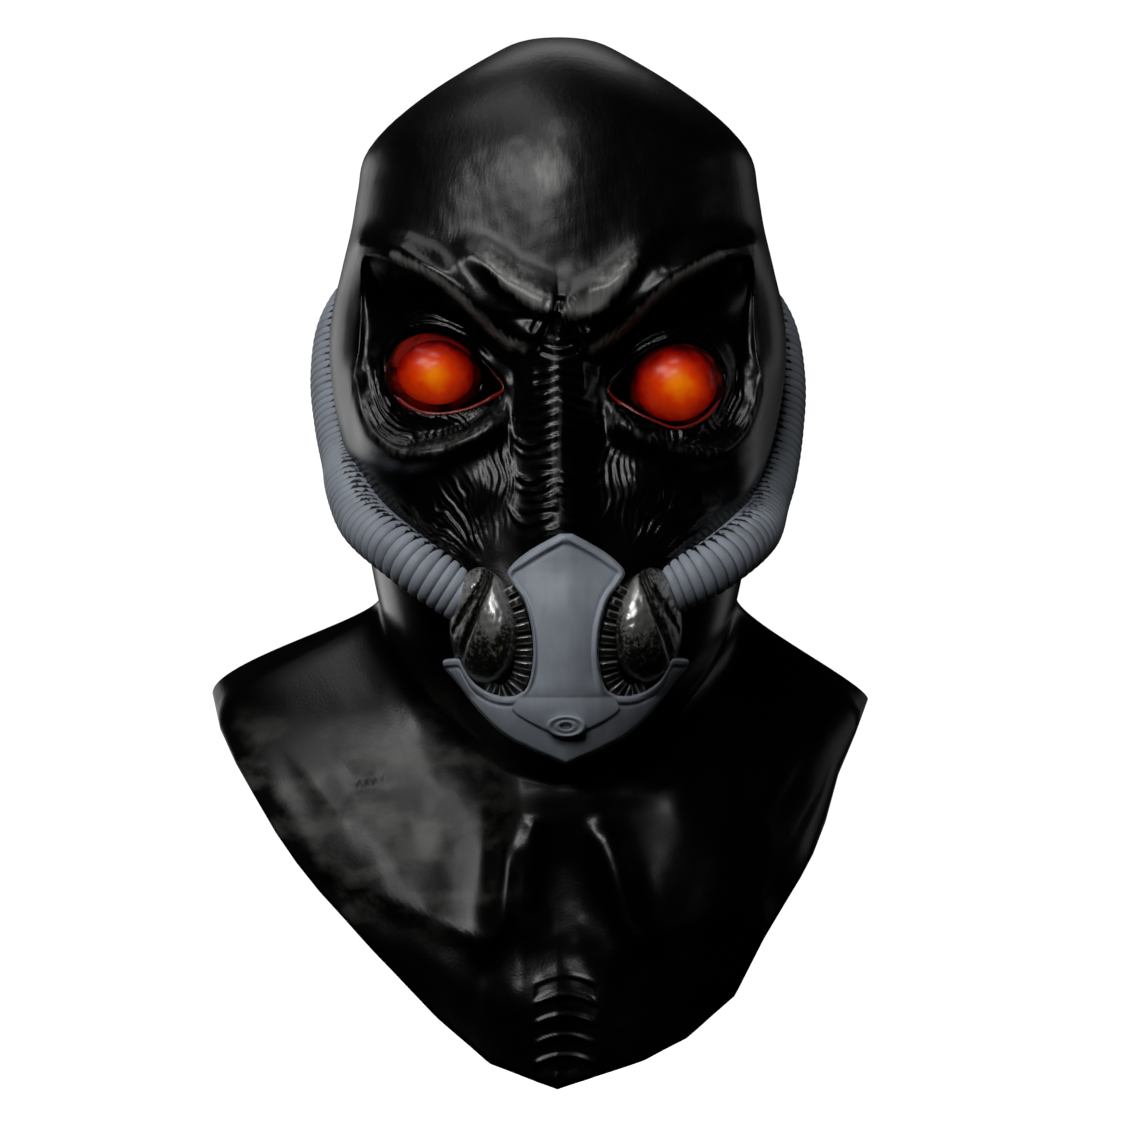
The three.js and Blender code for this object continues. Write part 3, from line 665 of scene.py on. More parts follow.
def make_piece(
    name: str,
    points: Array,
    faces: Faces,
    fields: dict[str, Array] | None = None,
) -> bpy.types.Object:
    """A smooth-shaded mesh piece from points in millimetres, its faces all turned one way.

    Args:
        name: The piece's name.
        points: One row for each point.
        faces: Corner numbers of each face.
        fields: Values for each point, kept on the mesh for its finish.

    Returns:
        The new object.
    """
    mesh = bpy.data.meshes.new(name)
    mesh.from_pydata((np.asarray(points, float).reshape(-1, 3) * MM).tolist(), [], faces)
    mesh.validate()
    for key, values in (fields or {}).items():
        layer = mesh.attributes.new(key, "FLOAT", "POINT")
        layer.data.foreach_set("value", np.asarray(values, np.float32).ravel())
    mesh.shade_smooth()
    work = bmesh.new()
    work.from_mesh(mesh)
    bmesh.ops.recalc_face_normals(work, faces=work.faces)
    work.to_mesh(mesh)
    work.free()
    piece = bpy.data.objects.new(name, mesh)
    bpy.context.scene.collection.objects.link(piece)
    return piece


def relief_piece(
    name: str, form: MaskForm, rows: Array, sink: float, fields: dict[str, Array] | None = None
) -> bpy.types.Object:
    """A closed piece over a patch of the face.

    Args:
        name: The piece's name.
        form: The form that it lies on.
        rows: Grid of x, z and rise over the face.
        sink: How far its back lies behind the face.
        fields: Values over the grid, kept on the mesh for the finish.

    Returns:
        The new object.
    """
    x, z, rise = np.moveaxis(rows, -1, 0)
    depth = form.face_y(x, z)
    front = np.stack([x, depth - rise, z], axis=-1)
    back = np.stack([x, depth + sink, z], axis=-1)
    count, columns = rows.shape[0] * rows.shape[1], rows.shape[1]
    faces = grid_faces(rows.shape[0], columns)
    faces += [tuple(reversed(face)) for face in grid_faces(rows.shape[0], columns, start=count)]
    edge = np.arange(count).reshape(rows.shape[:2])
    loop = np.concatenate([edge[0, :-1], edge[:-1, -1], edge[-1, :0:-1], edge[:0:-1, 0]])
    for a, b in zip(loop.tolist(), np.roll(loop, -1).tolist()):
        faces.append((a, b, b + count, a + count))
    both = {key: np.tile(np.asarray(value).ravel(), 2) for key, value in (fields or {}).items()}
    return make_piece(name, np.vstack([front.reshape(-1, 3), back.reshape(-1, 3)]), faces, both)


def ring_points(path: Array, tangents: Array, radii: Array, sides: int, up: Vector) -> Array:
    """Rings of points round a path, one ring after the other.

    Args:
        path: Points of the middle line.
        tangents: The path's direction at each point, of any length.
        radii: The radius at each point.
        sides: Number of points in a ring.
        up: A direction that the first point of each ring keeps towards.

    Returns:
        One row for each point.
    """
    tangents = tangents / np.linalg.norm(tangents, axis=1)[:, None]
    across = np.cross(tangents, np.array(up))
    across /= np.linalg.norm(across, axis=1)[:, None]
    upward = np.cross(across, tangents)
    turn = np.linspace(0.0, 2 * math.pi, sides, endpoint=False)[:, None]
    ring = upward[:, None] * np.cos(turn) + across[:, None] * np.sin(turn)
    return (path[:, None] + ring * radii[:, None, None]).reshape(-1, 3)


def sweep(path: Array, radii: Array, sides: int, up: Vector) -> tuple[Array, Faces]:
    """A round tube along a path with closed ends.

    Args:
        path: Points of the middle line.
        radii: The radius at each point.
        sides: Number of sides.
        up: A direction that the first side keeps towards.

    Returns:
        The points, and the faces' corners.
    """
    points = ring_points(path, np.gradient(path, axis=0), radii, sides, up)
    faces = grid_faces(len(path), sides, wrap=True)
    last = (len(path) - 1) * sides
    faces.append(tuple(range(sides)))
    faces.append(tuple(reversed(range(last, last + sides))))
    return points, faces


def dress(piece: bpy.types.Object, finish: bpy.types.Material, slot: str, *nodes: str) -> None:
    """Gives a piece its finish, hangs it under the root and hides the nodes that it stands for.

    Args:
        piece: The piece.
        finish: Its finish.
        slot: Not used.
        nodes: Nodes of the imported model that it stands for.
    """
    piece.data.materials.clear()
    piece.data.materials.append(finish)
    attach(piece, "root")
    if nodes:
        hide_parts(*nodes)
    LOG.info("%s: %d faces", piece.name, len(piece.data.polygons))


class Value:
    """A number, colour or vector that a node gives, with arithmetic for the numbers."""

    def __init__(self, graph: "Graph", socket: bpy.types.NodeSocket) -> None:
        """Wraps a socket of a graph."""
        self.graph = graph
        self.socket = socket

    def _math(self, operation: str, *values: "Value | float") -> "Value":
        """A Math node on numbers."""
        return self.graph.node("ShaderNodeMath", {"operation": operation}, dict(enumerate(values)))

    def __add__(self, other: "Value | float") -> "Value":
        """Sum."""
        return self._math("ADD", self, other)

    def __sub__(self, other: "Value | float") -> "Value":
        """Difference."""
        return self._math("SUBTRACT", self, other)

    def __rsub__(self, other: float) -> "Value":
        """Difference from a number."""
        return self._math("SUBTRACT", other, self)

    def __mul__(self, other: "Value | float") -> "Value":
        """Product."""
        return self._math("MULTIPLY", self, other)

    __radd__ = __add__
    __rmul__ = __mul__

    def __pow__(self, other: float) -> "Value":
        """Power."""
        return self._math("POWER", self, other)

    def step(self, low: float, high: float) -> "Value":
        """A smooth step from 0 at low to 1 at high.

        Args:
            low: The value at which it starts.
            high: The value at which it ends.

        Returns:
            The stepped value.
        """
        settings = {"interpolation_type": "SMOOTHSTEP"}
        return self.graph.node(
            "ShaderNodeMapRange", settings, {"Value": self, "From Min": low, "From Max": high}
        )


class Graph:
    """The nodes of one finish."""

    def __init__(self, name: str) -> None:
        """Starts an empty material.

        Args:
            name: The material's name.
        """
        self.material = bpy.data.materials.new(name)
        self.material.use_nodes = True
        self.tree = self.material.node_tree
        self.tree.nodes.clear()
        self.place = self.node("ShaderNodeTexCoord", {}, {}, "Object")

    def node(
        self,
        kind: str,
        settings: dict[str, object],
        inputs: dict[str | int, object],
        output: str | int = 0,
    ) -> Value:
        """Adds a node.

        Args:
            kind: The node's type.
            settings: Its properties, set first. stops fills a ramp with places and colours.
            inputs: Values or links of its sockets.
            output: The socket that is given back.

        Returns:
            The chosen output.
        """
        made = self.tree.nodes.new(kind)
        for key, value in settings.items():
            if key == "stops":
                ramp = made.color_ramp.elements
                while len(ramp) < len(value):
                    ramp.new(0.5)
                for element, (place, colour) in zip(ramp, value):
                    element.position, element.color = place, (*colour, 1.0)
            else:
                setattr(made, key, value)
        for key, value in inputs.items():
            if isinstance(value, Value):
                self.tree.links.new(value.socket, made.inputs[key])
            else:
                made.inputs[key].default_value = value
        return Value(self, made.outputs[output])

    def noise(self, scale: float, detail: float = 3.0, stretch: tuple[float, ...] = (1, 1, 1)) -> Value:
        """Noise of a given scale per metre, stretched along the axes.

        Args:
            scale: Number of waves to a metre.
            detail: Number of finer layers.
            stretch: Factors along the axes.

        Returns:
            Noise from 0 to 1.
        """
        place = self.node(
            "ShaderNodeVectorMath", {"operation": "MULTIPLY"}, {0: self.place, 1: stretch}
        )
        inputs = {"Vector": place, "Scale": scale, "Detail": detail}
        return self.node("ShaderNodeTexNoise", {}, inputs, "Fac")

    def kept(self, key: str) -> Value:
        """A field kept on the mesh."""
        return self.node("ShaderNodeAttribute", {"attribute_name": key}, {}, "Fac")

    def axis(self, name: str) -> Value:
        """One axis of the place, in metres."""
        return self.node("ShaderNodeSeparateXYZ", {}, {0: self.place}, name)

    def mix(self, share: Value | float, first: object, second: object) -> Value:
        """A colour between two colours."""
        first, second = (c if isinstance(c, Value) else (*c, 1.0) for c in (first, second))
        return self.node("ShaderNodeMix", {"data_type": "RGBA"}, {0: share, 6: first, 7: second}, 2)

    def bump(self, height: Value, depth: float) -> Value:
        """A normal bumped by a height, with the depth of the bumps in metres."""
        inputs = {"Height": height, "Distance": depth, "Strength": 1.0}
        return self.node("ShaderNodeBump", {}, inputs, "Normal")

    def finish(self, **sockets: object) -> bpy.types.Material:
        """Closes the graph with the surface shader, its sockets named with underscores.

        Args:
            sockets: Values or links of the shader's sockets.

        Returns:
            The material.
        """
        named = {key.replace("_", " "): value for key, value in sockets.items()}
        surface = self.node("ShaderNodeBsdfPrincipled", {}, named, "BSDF")
        out = self.tree.nodes.new("ShaderNodeOutputMaterial")
        self.tree.links.new(surface.socket, out.inputs["Surface"])
        return self.material


@dataclass(frozen=True)
class BlackLatex:
    """Glossy black latex with pores, grey brushed on as painted highlights, and a rougher patch
    with a painted sheen of reflected light on the right of the bib.

    The spans are places in metres over which one look goes over into the next.
    """

    name: str = "black_latex"
    deep: Colour = (0.0005, 0.0005, 0.0005)
    worn: Colour = (0.0018, 0.0019, 0.0017)
    # Grey of a painted sheen: reflected light painted on the right of the bib.
    sheen_grey: Colour = (0.1, 0.104, 0.09)
    # Grey brushed over raised parts where highlights fall: partly brushed paint, partly painted highlights.
    brushed: Colour = (0.34, 0.34, 0.32)
    gloss: float = 0.24
    satin: float = 0.13
    to_forehead: Pair = (-0.14, -0.1)
    to_neck: Pair = (-0.345, -0.31)
    to_back: Pair = (-0.03, 0.0)
    sheen_side: Pair = (-0.05, -0.005)
    sheen_foot: Pair = (-0.43, -0.4)

    def build(self) -> bpy.types.Material:
        """Builds the finish from its nodes.

        Returns:
            The material.
        """
        g = Graph(self.name)
        blotch = g.noise(22.0, 4.0)
        clouds = g.noise(60.0, 5.0)
        pores = g.noise(900.0, 2.0)
        strokes = g.noise(420.0, 2.0, (1.0, 1.0, 0.05))
        across, height = g.axis("X"), g.axis("Z")
        forehead = height.step(*self.to_forehead)
        bib = 1 - height.step(*self.to_neck)
        base = g.mix(blotch.step(0.45, 0.75), self.deep, self.worn)
        front = 1 - g.axis("Y").step(*self.to_back)
        # A painted sheen of reflected light in wisps over the front of the bib on the wearer's right, which
        # is also made rougher.
        sheen_patch = front * bib * (1 - across.step(*self.sheen_side)) * height.step(*self.sheen_foot)
        wisps = g.noise(34.0, 6.0, (1.0, 1.0, 1.7))
        base = g.mix(sheen_patch * wisps.step(0.44, 0.66) * 0.9, base, self.sheen_grey)
        # Grey brushed over the lip, brow crest, bags, keel and nose ridge: painted highlights.
        highlight_marks = (g.kept("dry") + (strokes - 0.5) * 1.1 + (clouds - 0.5) * 0.5).step(0.15, 1.3)
        base = g.mix(highlight_marks * g.kept("dry").step(0.0, 0.3), base, self.brushed)
        roughness = self.gloss + self.satin * g.kept("satin") + 0.1 * (clouds - 0.5) + 0.2 * sheen_patch
        grain = pores * 0.3 + strokes * forehead * 0.8 + clouds * 0.2
        return g.finish(
            Base_Color=base,
            Roughness=roughness,
            Normal=g.bump(grain, 0.0002),
            Specular_IOR_Level=0.5,
            Coat_Weight=0.2,
            Coat_Roughness=0.25,
        )


@dataclass(frozen=True)
class GreyPaint:
    """Bluish grey paint over latex, laid on with a brush, with painted shade in grooves, at the foot and in
    holes.
    """

    name: str = "grey_plate"
    light: Colour = (0.57, 0.625, 0.71)
    dark: Colour = (0.44, 0.485, 0.56)
    # Near-black painted shade for grooves, the plate's foot and the valve's hole.
    painted_shade: Colour = (0.02, 0.022, 0.026)

    def build(self) -> bpy.types.Material:
        """Builds the finish from its nodes.

        Returns:
            The material.
        """
        g = Graph(self.name)
        brush = g.noise(160.0, 3.0, (1.0, 1.0, 0.25))
        cloud = g.noise(45.0, 3.0)
        grain = g.noise(1400.0, 2.0)
        base = g.mix((brush * 0.5 + cloud * 0.5).step(0.35, 0.65), self.dark, self.light)
        return g.finish(
            # Darkened where the kept edge field is high: painted shade.
            Base_Color=g.mix(g.kept("edge").step(0.0, 1.6), base, self.painted_shade),
            Roughness=0.42 + 0.12 * (cloud - 0.5),
            Normal=g.bump(grain * 0.5 + brush * 0.8, 0.00015),
            Specular_IOR_Level=0.4,
        )


@dataclass(frozen=True)
class HosePaint:
    """Grey paint, darker in the grooves as painted shade, that misses the grooves on the hose's upper side.
    """

    name: str = "hose_paint"
    rib: Colour = (0.5, 0.55, 0.63)
    # Darker grey of the grooves: painted shade.
    groove: Colour = (0.11, 0.13, 0.16)
    bare: Colour = (0.005, 0.005, 0.006)

    def build(self) -> bpy.types.Material:
        """Builds the finish from its nodes.

        Returns:
            The material.
        """
        g = Graph(self.name)
        cloud = g.noise(70.0, 3.0)
        specks = g.noise(380.0, 3.0)
        grain = g.noise(1500.0, 2.0)
        groove, upper = g.kept("groove"), g.kept("upper")
        # The grooves are painted darker than the ribs: painted shade.
        painted = g.mix(groove.step(0.3, 1.1), self.rib, self.groove)
        painted = g.mix(cloud.step(0.4, 0.8) * 0.35, painted, self.groove)
        missed = (upper + groove * 0.22 + (specks - 0.5) * 0.35).step(1.0, 1.06)
        return g.finish(
            Base_Color=g.mix(missed, painted, self.bare),
            Roughness=0.48 + 0.1 * (cloud - 0.5),
            Normal=g.bump(grain, 0.00008),
            Specular_IOR_Level=0.4,
        )


@dataclass(frozen=True)
class DryBrushedSilver:
    """Black latex with silver rubbed over its high points, heaviest where highlights fall: partly painted
    highlight.
    """

    name: str = "dark_silver"
    under: Colour = (0.014, 0.0135, 0.011)
    silver: Colour = (0.62, 0.62, 0.6)

    def build(self) -> bpy.types.Material:
        """Builds the finish from its nodes.

        Returns:
            The material.
        """
        g = Graph(self.name)
        strokes = g.noise(240.0, 4.0, (1.0, 1.0, 0.3))
        specks = g.noise(650.0, 4.0)
        high = g.kept("high")
        # Rubbed silver, laid heaviest where highlights fall: partly worn silver, partly painted highlight.
        rubbed_and_lit = (high + (strokes - 0.5) * 0.9 + (specks - 0.5) * 1.5).step(0.25, 1.05)
        return g.finish(
            Base_Color=g.mix(rubbed_and_lit, self.under, self.silver),
            Metallic=rubbed_and_lit * 0.7,
            Roughness=0.32 + (specks - 0.5) * 0.2,
            Normal=g.bump(specks * 0.6 + strokes * 0.5, 0.0002),
            Specular_IOR_Level=0.45,
            Coat_Weight=0.2,
            Coat_Roughness=0.2,
        )


@dataclass(frozen=True)
class GlowingEye:
    """An eye painted from a yellow middle out to deep red, under clear gloss, with a painted glow."""

    name: str = "glowing_eye"
    middle: Colour = (0.95, 0.22, 0.001)
    orange: Colour = (0.72, 0.04, 0.001)
    red: Colour = (0.28, 0.0035, 0.001)
    rim: Colour = (0.03, 0.0005, 0.0005)
    # Strength of the painted glow: the eye holds no lamp.
    glow: float = 0.42

    def build(self) -> bpy.types.Material:
        """Builds the finish from its nodes.

        Returns:
            The material.
        """
        g = Graph(self.name)
        haze = g.noise(90.0, 3.0)
        fine = g.noise(420.0, 3.0)
        # The paint goes redder towards the top of the ball.
        out = g.kept("out") + g.kept("up") * 0.12 + (haze - 0.5) * 0.42 + (fine - 0.5) * 0.1
        places = (0.0, 0.12, 0.45, 0.82, 1.0)
        stops = tuple(zip(places, (self.middle, self.middle, self.orange, self.red, self.rim)))
        paint = g.node("ShaderNodeValToRGB", {"stops": stops}, {0: out}, "Color")
        return g.finish(
            Base_Color=paint,
            Roughness=0.3,
            # The paint itself glows: a painted glow.
            Emission_Color=paint,
            Emission_Strength=self.glow,
            Specular_IOR_Level=0.25,
            Coat_Weight=0.35,
            Coat_Roughness=0.22,
        )


@dataclass(frozen=True)
class RedBed:
    """Dark wet red that the ball of an eye lies in, going to black."""

    name: str = "red_bed"
    red: Colour = (0.34, 0.011, 0.006)
    black: Colour = (0.02, 0.001, 0.001)

    def build(self) -> bpy.types.Material:
        """Builds the finish from its nodes.

        Returns:
            The material.
        """
        g = Graph(self.name)
        worn = g.noise(120.0, 4.0)
        return g.finish(
            Base_Color=g.mix(worn.step(0.36, 0.62), self.black, self.red),
            Roughness=0.5,
            Normal=g.bump(g.noise(500.0, 3.0), 0.0003),
            Specular_IOR_Level=0.15,
        )


@dataclass(frozen=True)
class RedRim:
    """Wet red paint along the lids, black where it thins out."""

    name: str = "red_rim"
    red: Colour = (0.32, 0.016, 0.01)
    black: Colour = (0.008, 0.001, 0.001)

    def build(self) -> bpy.types.Material:
        """Builds the finish from its nodes.

        Returns:
            The material.
        """
        g = Graph(self.name)
        worn = g.noise(260.0, 3.0)
        share = (g.kept("paint") + (worn - 0.5) * 1.1).step(0.2, 0.9)
        return g.finish(
            Base_Color=g.mix(share, self.black, self.red),
            Roughness=0.3,
            Normal=g.bump(g.noise(500.0, 3.0), 0.0004),
            Coat_Weight=0.6,
            Coat_Roughness=0.12,
        )


def inside_of(x: Array, z: Array, outline: Array) -> Array:
    """Whether points lie inside a closed outline.

    Args:
        x: Points' places across.
        z: Points' heights.
        outline: One row for each corner of the outline.

    Returns:
        Whether each point lies inside.
    """
    within = np.zeros(x.shape, bool)
    for (ax, az), (bx, bz) in zip(outline, np.roll(outline, -1, axis=0)):
        crosses = (az > z) != (bz > z)
        at = (bx - ax) * (z - az) / (bz - az + 1e-12) + ax
        within ^= crosses & (x < at)
    return within


def dome_points(rings: int, sides: int, turn_to: float) -> tuple[Array, Faces]:
    """A closed dome of radius 1 that looks along -Y, down to an angle from its top.

    Args:
        rings: Number of rings, counting the top.
        sides: Number of points in a ring.
        turn_to: Angle from the top down to the foot, in radians.

    Returns:
        The points, and the faces' corners.
    """
    polar = np.linspace(0.0, turn_to, rings)[1:]
    turn = np.linspace(0.0, 2 * math.pi, sides, endpoint=False)
    p, t = np.meshgrid(polar, turn, indexing="ij")
    unit = np.stack([np.sin(p) * np.cos(t), -np.cos(p), np.sin(p) * np.sin(t)], axis=-1)
    points = np.vstack([[0.0, -1.0, 0.0], unit.reshape(-1, 3)])
    faces = grid_faces(rings - 1, sides, wrap=True, start=1)
    faces += [(0, 1 + k, 1 + (k + 1) % sides) for k in range(sides)]
    faces.append(tuple(1 + (rings - 2) * sides + k for k in range(sides)))
    return points, faces


@dataclass
class Eye:
    """A ball on a dark bed, the opening of its lids and the painted rim along them.

    The opening's corners and the ball's middle are given from the middle of the bed, to the
    wearer's left and up.
    """

    side: Side
    across: float
    height: float
    opening: Corners
    ball: Pair
    ball_width: float
    ball_tall: float
    width: float = 45.0
    tall: float = 41.0
    deep: float = 36.0
    proud: float = 12.5
    ball_deep: float = 31.0
    ball_proud: float = 15.5
    dome_turn: float = 100.0
    rim_radius: float = 1.05
    lid_rise: float = 6.5
    lid_spread: float = 5.5
    well_depth: float = 6.0
    fold_pitch: float = 2.3
    fold_rise: float = 1.3
    wrinkles: float = 8.0
    wrinkle_rise: float = 2.6

    def outline(self) -> Array:
        """The edge of the opening on the face, as x, z."""
        return rounded(np.array(self.opening) + (self.across, self.height), 72, closed=True)

    def lids(self, x: Array, z: Array) -> Array:
        """How far the lids and the folds round them stand out of the face.

        Args:
            x: Points' places across.
            z: Points' heights.

        Returns:
            A height for each point.
        """
        outline = self.outline()
        off = to_line(x, z, outline, closed=True)[0]
        away = np.where(inside_of(x, z, outline), -off, off)
        turn = np.arctan2(z - self.height, (self.across - x) * self.side.value)
        warp = ripple(x, z, 17.0, 5) * 0.35 + ripple(x, z, 7.0, 6) * 0.12
        lid = self.lid_rise * bell(np.maximum(away, 0.0), 0.0, self.lid_spread) * smooth(-1.6, 0.2, away)
        well = -self.well_depth * (1 - smooth(-2.6, -0.6, away))
        above = smooth(0.2, 0.7, turn) * smooth(0.5, 1.1, math.pi - turn)
        share = above * between(away, (0.6, 1.6), (6.0, 8.5))
        folded = crests(away / self.fold_pitch + 0.5 * warp + 0.2, 2.2) * share * self.fold_rise
        return lid + well + folded + self.bag(x, z, away)

    def bag(self, x: Array, z: Array, away: Array) -> Array:
        """The wrinkles between the lower lid and the ridge of the bag under the eye.

        Args:
            x: Points' places across.
            z: Points' heights.
            away: Distance from the opening's edge, negative inside it.

        Returns:
            A height for each point.
        """
        ridge = rounded(np.array(BAG_RIDGE), 48)
        far, hand, share = to_line(np.abs(x), z, ridge)
        outward = np.maximum(away, 0.0)
        place = outward / (outward + far + 1e-6)
        warp = ripple(x, z, 20.0, 7) * 0.22 + ripple(x, z, 9.0, 8) * 0.07
        worn = np.clip(0.9 + 0.4 * ripple(x, z, 9.0, 9), 0.35, 1.25)
        within = smooth(0.0, 0.8, away) * (hand < 0) * (1 - smooth(0.8, 0.92, place))
        ridges = strands(place * self.wrinkles + warp, share, (-0.12, 1.16), 3, 2.6)
        ends = between(share, (0.0, 0.05), (0.95, 1.0))
        return (ridges - 0.15) * self.wrinkle_rise * worn * within * ends

    def build(
        self,
        form: MaskForm,
        skin: BVHTree,
        ball_paint: bpy.types.Material,
        bed_paint: bpy.types.Material,
        rim_paint: bpy.types.Material,
    ) -> None:
        """Makes the ball, its bed and the rim of its lids.

        Args:
            form: The form that the bed lies on.
            skin: The finished skin, which the rim follows.
            ball_paint: The ball's finish.
            bed_paint: The bed's finish.
            rim_paint: The rim's finish.
        """
        floor = float(form.face_y(self.across, self.height))
        middle = np.array([self.across, floor - self.proud, self.height])
        self.dome("eye_bed", middle, (self.width, self.deep, self.tall), (24, 72), bed_paint)
        middle = np.array([self.across + self.ball[0], floor - self.ball_proud, self.height + self.ball[1]])
        size = (self.ball_width, self.ball_deep, self.ball_tall)
        self.dome("eyeball", middle, size, (40, 96), ball_paint)
        self.build_rim(skin, rim_paint)

    def dome(
        self,
        name: str,
        front: Array,
        size: tuple[float, float, float],
        fineness: tuple[int, int],
        finish: bpy.types.Material,
    ) -> None:
        """Makes a dome of the eye.

        Args:
            name: What it is.
            front: Its foremost point.
            size: Its width, depth and height as a whole ball.
            fineness: Its rings and sides.
            finish: Its finish, which may use how far out and how far up a point lies.
        """
        points, faces = dome_points(*fineness, math.radians(self.dome_turn))
        out = np.hypot(points[:, 0], points[:, 2]) * np.where(points[:, 1] < 0, 1.0, 1.2)
        fields = {"out": out, "up": points[:, 2]}
        middle = front + (0.0, size[1] / 2, 0.0)
        piece = make_piece(f"{self.side.label}_{name}", middle + points * np.array(size) / 2, faces, fields)
        dress(piece, finish, "glowing_eye", f"{self.side.label}_eye")
        piece.visible_glossy = False

    def build_rim(self, skin: BVHTree, finish: bpy.types.Material) -> None:
        """Makes the painted rim that follows the lids.

        Args:
            skin: The finished skin, which the rim follows.
            finish: Its finish.
        """
        count, sides = 200, 14
        line = rounded(self.outline(), count, closed=True)
        depth = np.array([depth_at(skin, x, z) for x, z in line])
        for _ in range(30):
            depth = (np.roll(depth, 1) + 2 * depth + np.roll(depth, -1)) / 4
        path = np.stack([line[:, 0], depth + 0.3, line[:, 1]], -1)
        low = 1 - smooth(-9.0, 8.0, path[:, 2] - self.height)
        rough = ripple(path[:, 0], path[:, 2], 9.0, 12)
        radii = self.rim_radius * (0.2 + 0.8 * low) * (1 + 0.14 * rough)
        tangents = np.roll(path, -1, axis=0) - np.roll(path, 1, axis=0)
        tube = ring_points(path, tangents, radii, sides, Vector((0.0, -1.0, 0.0)))
        faces = [tuple(k % len(tube) for k in face) for face in grid_faces(count + 1, sides, wrap=True)]
        fields = {"paint": np.repeat(0.1 + 0.9 * low, sides)}
        rim = make_piece(f"{self.side.label}_lid_rim", tube, faces, fields)
        dress(rim, finish, "glowing_eye")
        rim.visible_glossy = False


# Outer ridge of the bag under the eye, from the temple to the inner corner.
BAG_RIDGE = (
    (94, -158), (93.5, -168), (91.5, -181), (83, -193.5), (72.5, -199), (56.7, -197), (38.6, -191),
    (27, -182), (21, -172),
)
# Lower edge of the brow, and on down the edge of the temple.
BROW_EDGE = Cliff(
    ((14, -156), (22, -153), (29.6, -147.5), (41, -136), (52.2, -126), (64.6, -118), (75, -112),
     (85, -108), (90, -109.5), (91, -118), (91, -135), (91.5, -150), (94, -164), (97, -180)),
    4.5, 1.8, (19.0, 21.0), tapers=(0.07, 0.16),
)
BROW_CREST = Stroke(
    ((16, -152), (23, -148.5), (30.5, -143), (42, -131.5), (53, -121.5), (65, -114), (75, -108.5)),
    1.9, 4.2, tapers=(0.1, 0.3),
)
# Soft lip of the forehead from either side down to the point over the nose.
RIGHT_LIP = Stroke(
    ((-40, -107), (-33, -113), (-25, -121.5), (-16, -129.5), (-8, -134), (-1, -136)), 2.8, 9.0, 4.0,
    mirrored=False, tapers=(0.4, 0.1),
)
LEFT_LIP = Stroke(
    ((40, -107), (35, -113), (29, -122), (21, -132), (13, -137), (6, -138), (1, -137)), 2.8, 4.0, 9.0,
    mirrored=False, tapers=(0.4, 0.1),
)
# The fold round the painted sheen, the fold on the left, a crease at the right shoulder, a tendon's
# ridge and a dent by the left hem.
CHEST_FOLDS = (
    Cliff(
        ((-135, -380), (-100, -397), (-62, -412.5), (-42, -421), (-30, -422.5), (-24, -416), (-23, -392),
         (-25, -372)),
        3.0, 3.0, (14.0, 14.0), mirrored=False,
    ),
    Cliff(
        ((15, -364), (18, -385), (27, -411), (36, -418), (48, -420), (75, -412), (105, -396), (132, -380)),
        1.0, 3.0, (30.0, 30.0), mirrored=False,
    ),
    Cliff(
        ((-137, -366), (-118, -357), (-98, -351.5), (-80, -348), (-66, -338)), 3.0, 3.0, (13.0, 13.0),
        mirrored=False, tapers=(0.05, 0.4),
    ),
    Stroke(((-11.5, -366), (-12.5, -382), (-15.5, -410)), 1.8, 4.0, 3.0, mirrored=False),
    Stroke(((103, -357), (111, -365), (118, -370)), -2.2, 6.0, mirrored=False),
)
FACE_LINES = (
    BROW_EDGE,
    # Valley over the brow.
    Stroke(((58, -109), (49, -114.5), (40, -122.5), (29, -134), (19, -143), (10, -146.5)), -1.5, 6.0,
           tapers=(0.35, 0.15)),
    BROW_CREST,
    RIGHT_LIP,
    LEFT_LIP,
    # Keel of the forehead.
    Stroke(((4, -12), (4, -70), (3, -140)), 2.6, 22.0, 30.0, mirrored=False, tapers=(0.4, 0.05)),
    # Wedge at the root of the nose between creases that meet over it.
    Stroke(((0.2, -129), (-2.2, -137), (-5.8, -146), (-9.5, -154)), -2.4, 1.3, mirrored=False),
    Stroke(((1.6, -129), (4.2, -137), (7.8, -146), (11, -154)), -2.6, 1.3, mirrored=False),
    Stroke(((-3.5, -130), (-7.5, -138), (-12, -146)), -1.3, 1.2, mirrored=False),
    Stroke(((5.5, -130), (9.5, -138), (14, -146)), -1.3, 1.2, mirrored=False),
    Stroke(((0.9, -132), (0.9, -143), (0.9, -151)), 2.8, 3.4, mirrored=False, tapers=(0.5, 0.12)),
    Stroke(((0.5, -133), (0.4, -142)), 0.9, 0.8, mirrored=False, tapers=(0.3, 0.3)),
    Stroke(((-5, -146.5), (0.9, -148), (6.5, -146.5)), -0.9, 0.8, mirrored=False),
    Stroke(((-6, -150), (0.9, -151.8), (8, -150)), -1.2, 0.9, mirrored=False),
    Stroke(((-8.5, -153.5), (0.9, -156), (10.5, -153.5)), -1.6, 1.1, mirrored=False),
    # Folds beside the top of the nose, and its flanks.
    Stroke(((10.5, -158), (12, -167), (11, -176)), 1.6, 2.2, tapers=(0.3, 0.3)),
    Stroke(((16, -152), (19, -166), (22, -186), (24, -206)), -2.4, 3.6, tapers=(0.3, 0.3)),
    # Bag under the eye and the fall to the cheek.
    Stroke(BAG_RIDGE, 3.6, 5.0, 3.6, tapers=(0.12, 0.1)),
    Stroke(((84, -206), (66, -208), (48, -205), (34, -198)), -2.2, 6.0, tapers=(0.3, 0.3)),
)


@dataclass(frozen=True)
class Block:
    """Cells of the skin's lattice that are split more finely."""

    rows: tuple[int, int]
    columns: tuple[int, int]

    def holds(self, row: int, column: int) -> bool:
        """Whether a cell belongs to the block."""
        return self.rows[0] <= row < self.rows[1] and self.columns[0] <= column < self.columns[1]


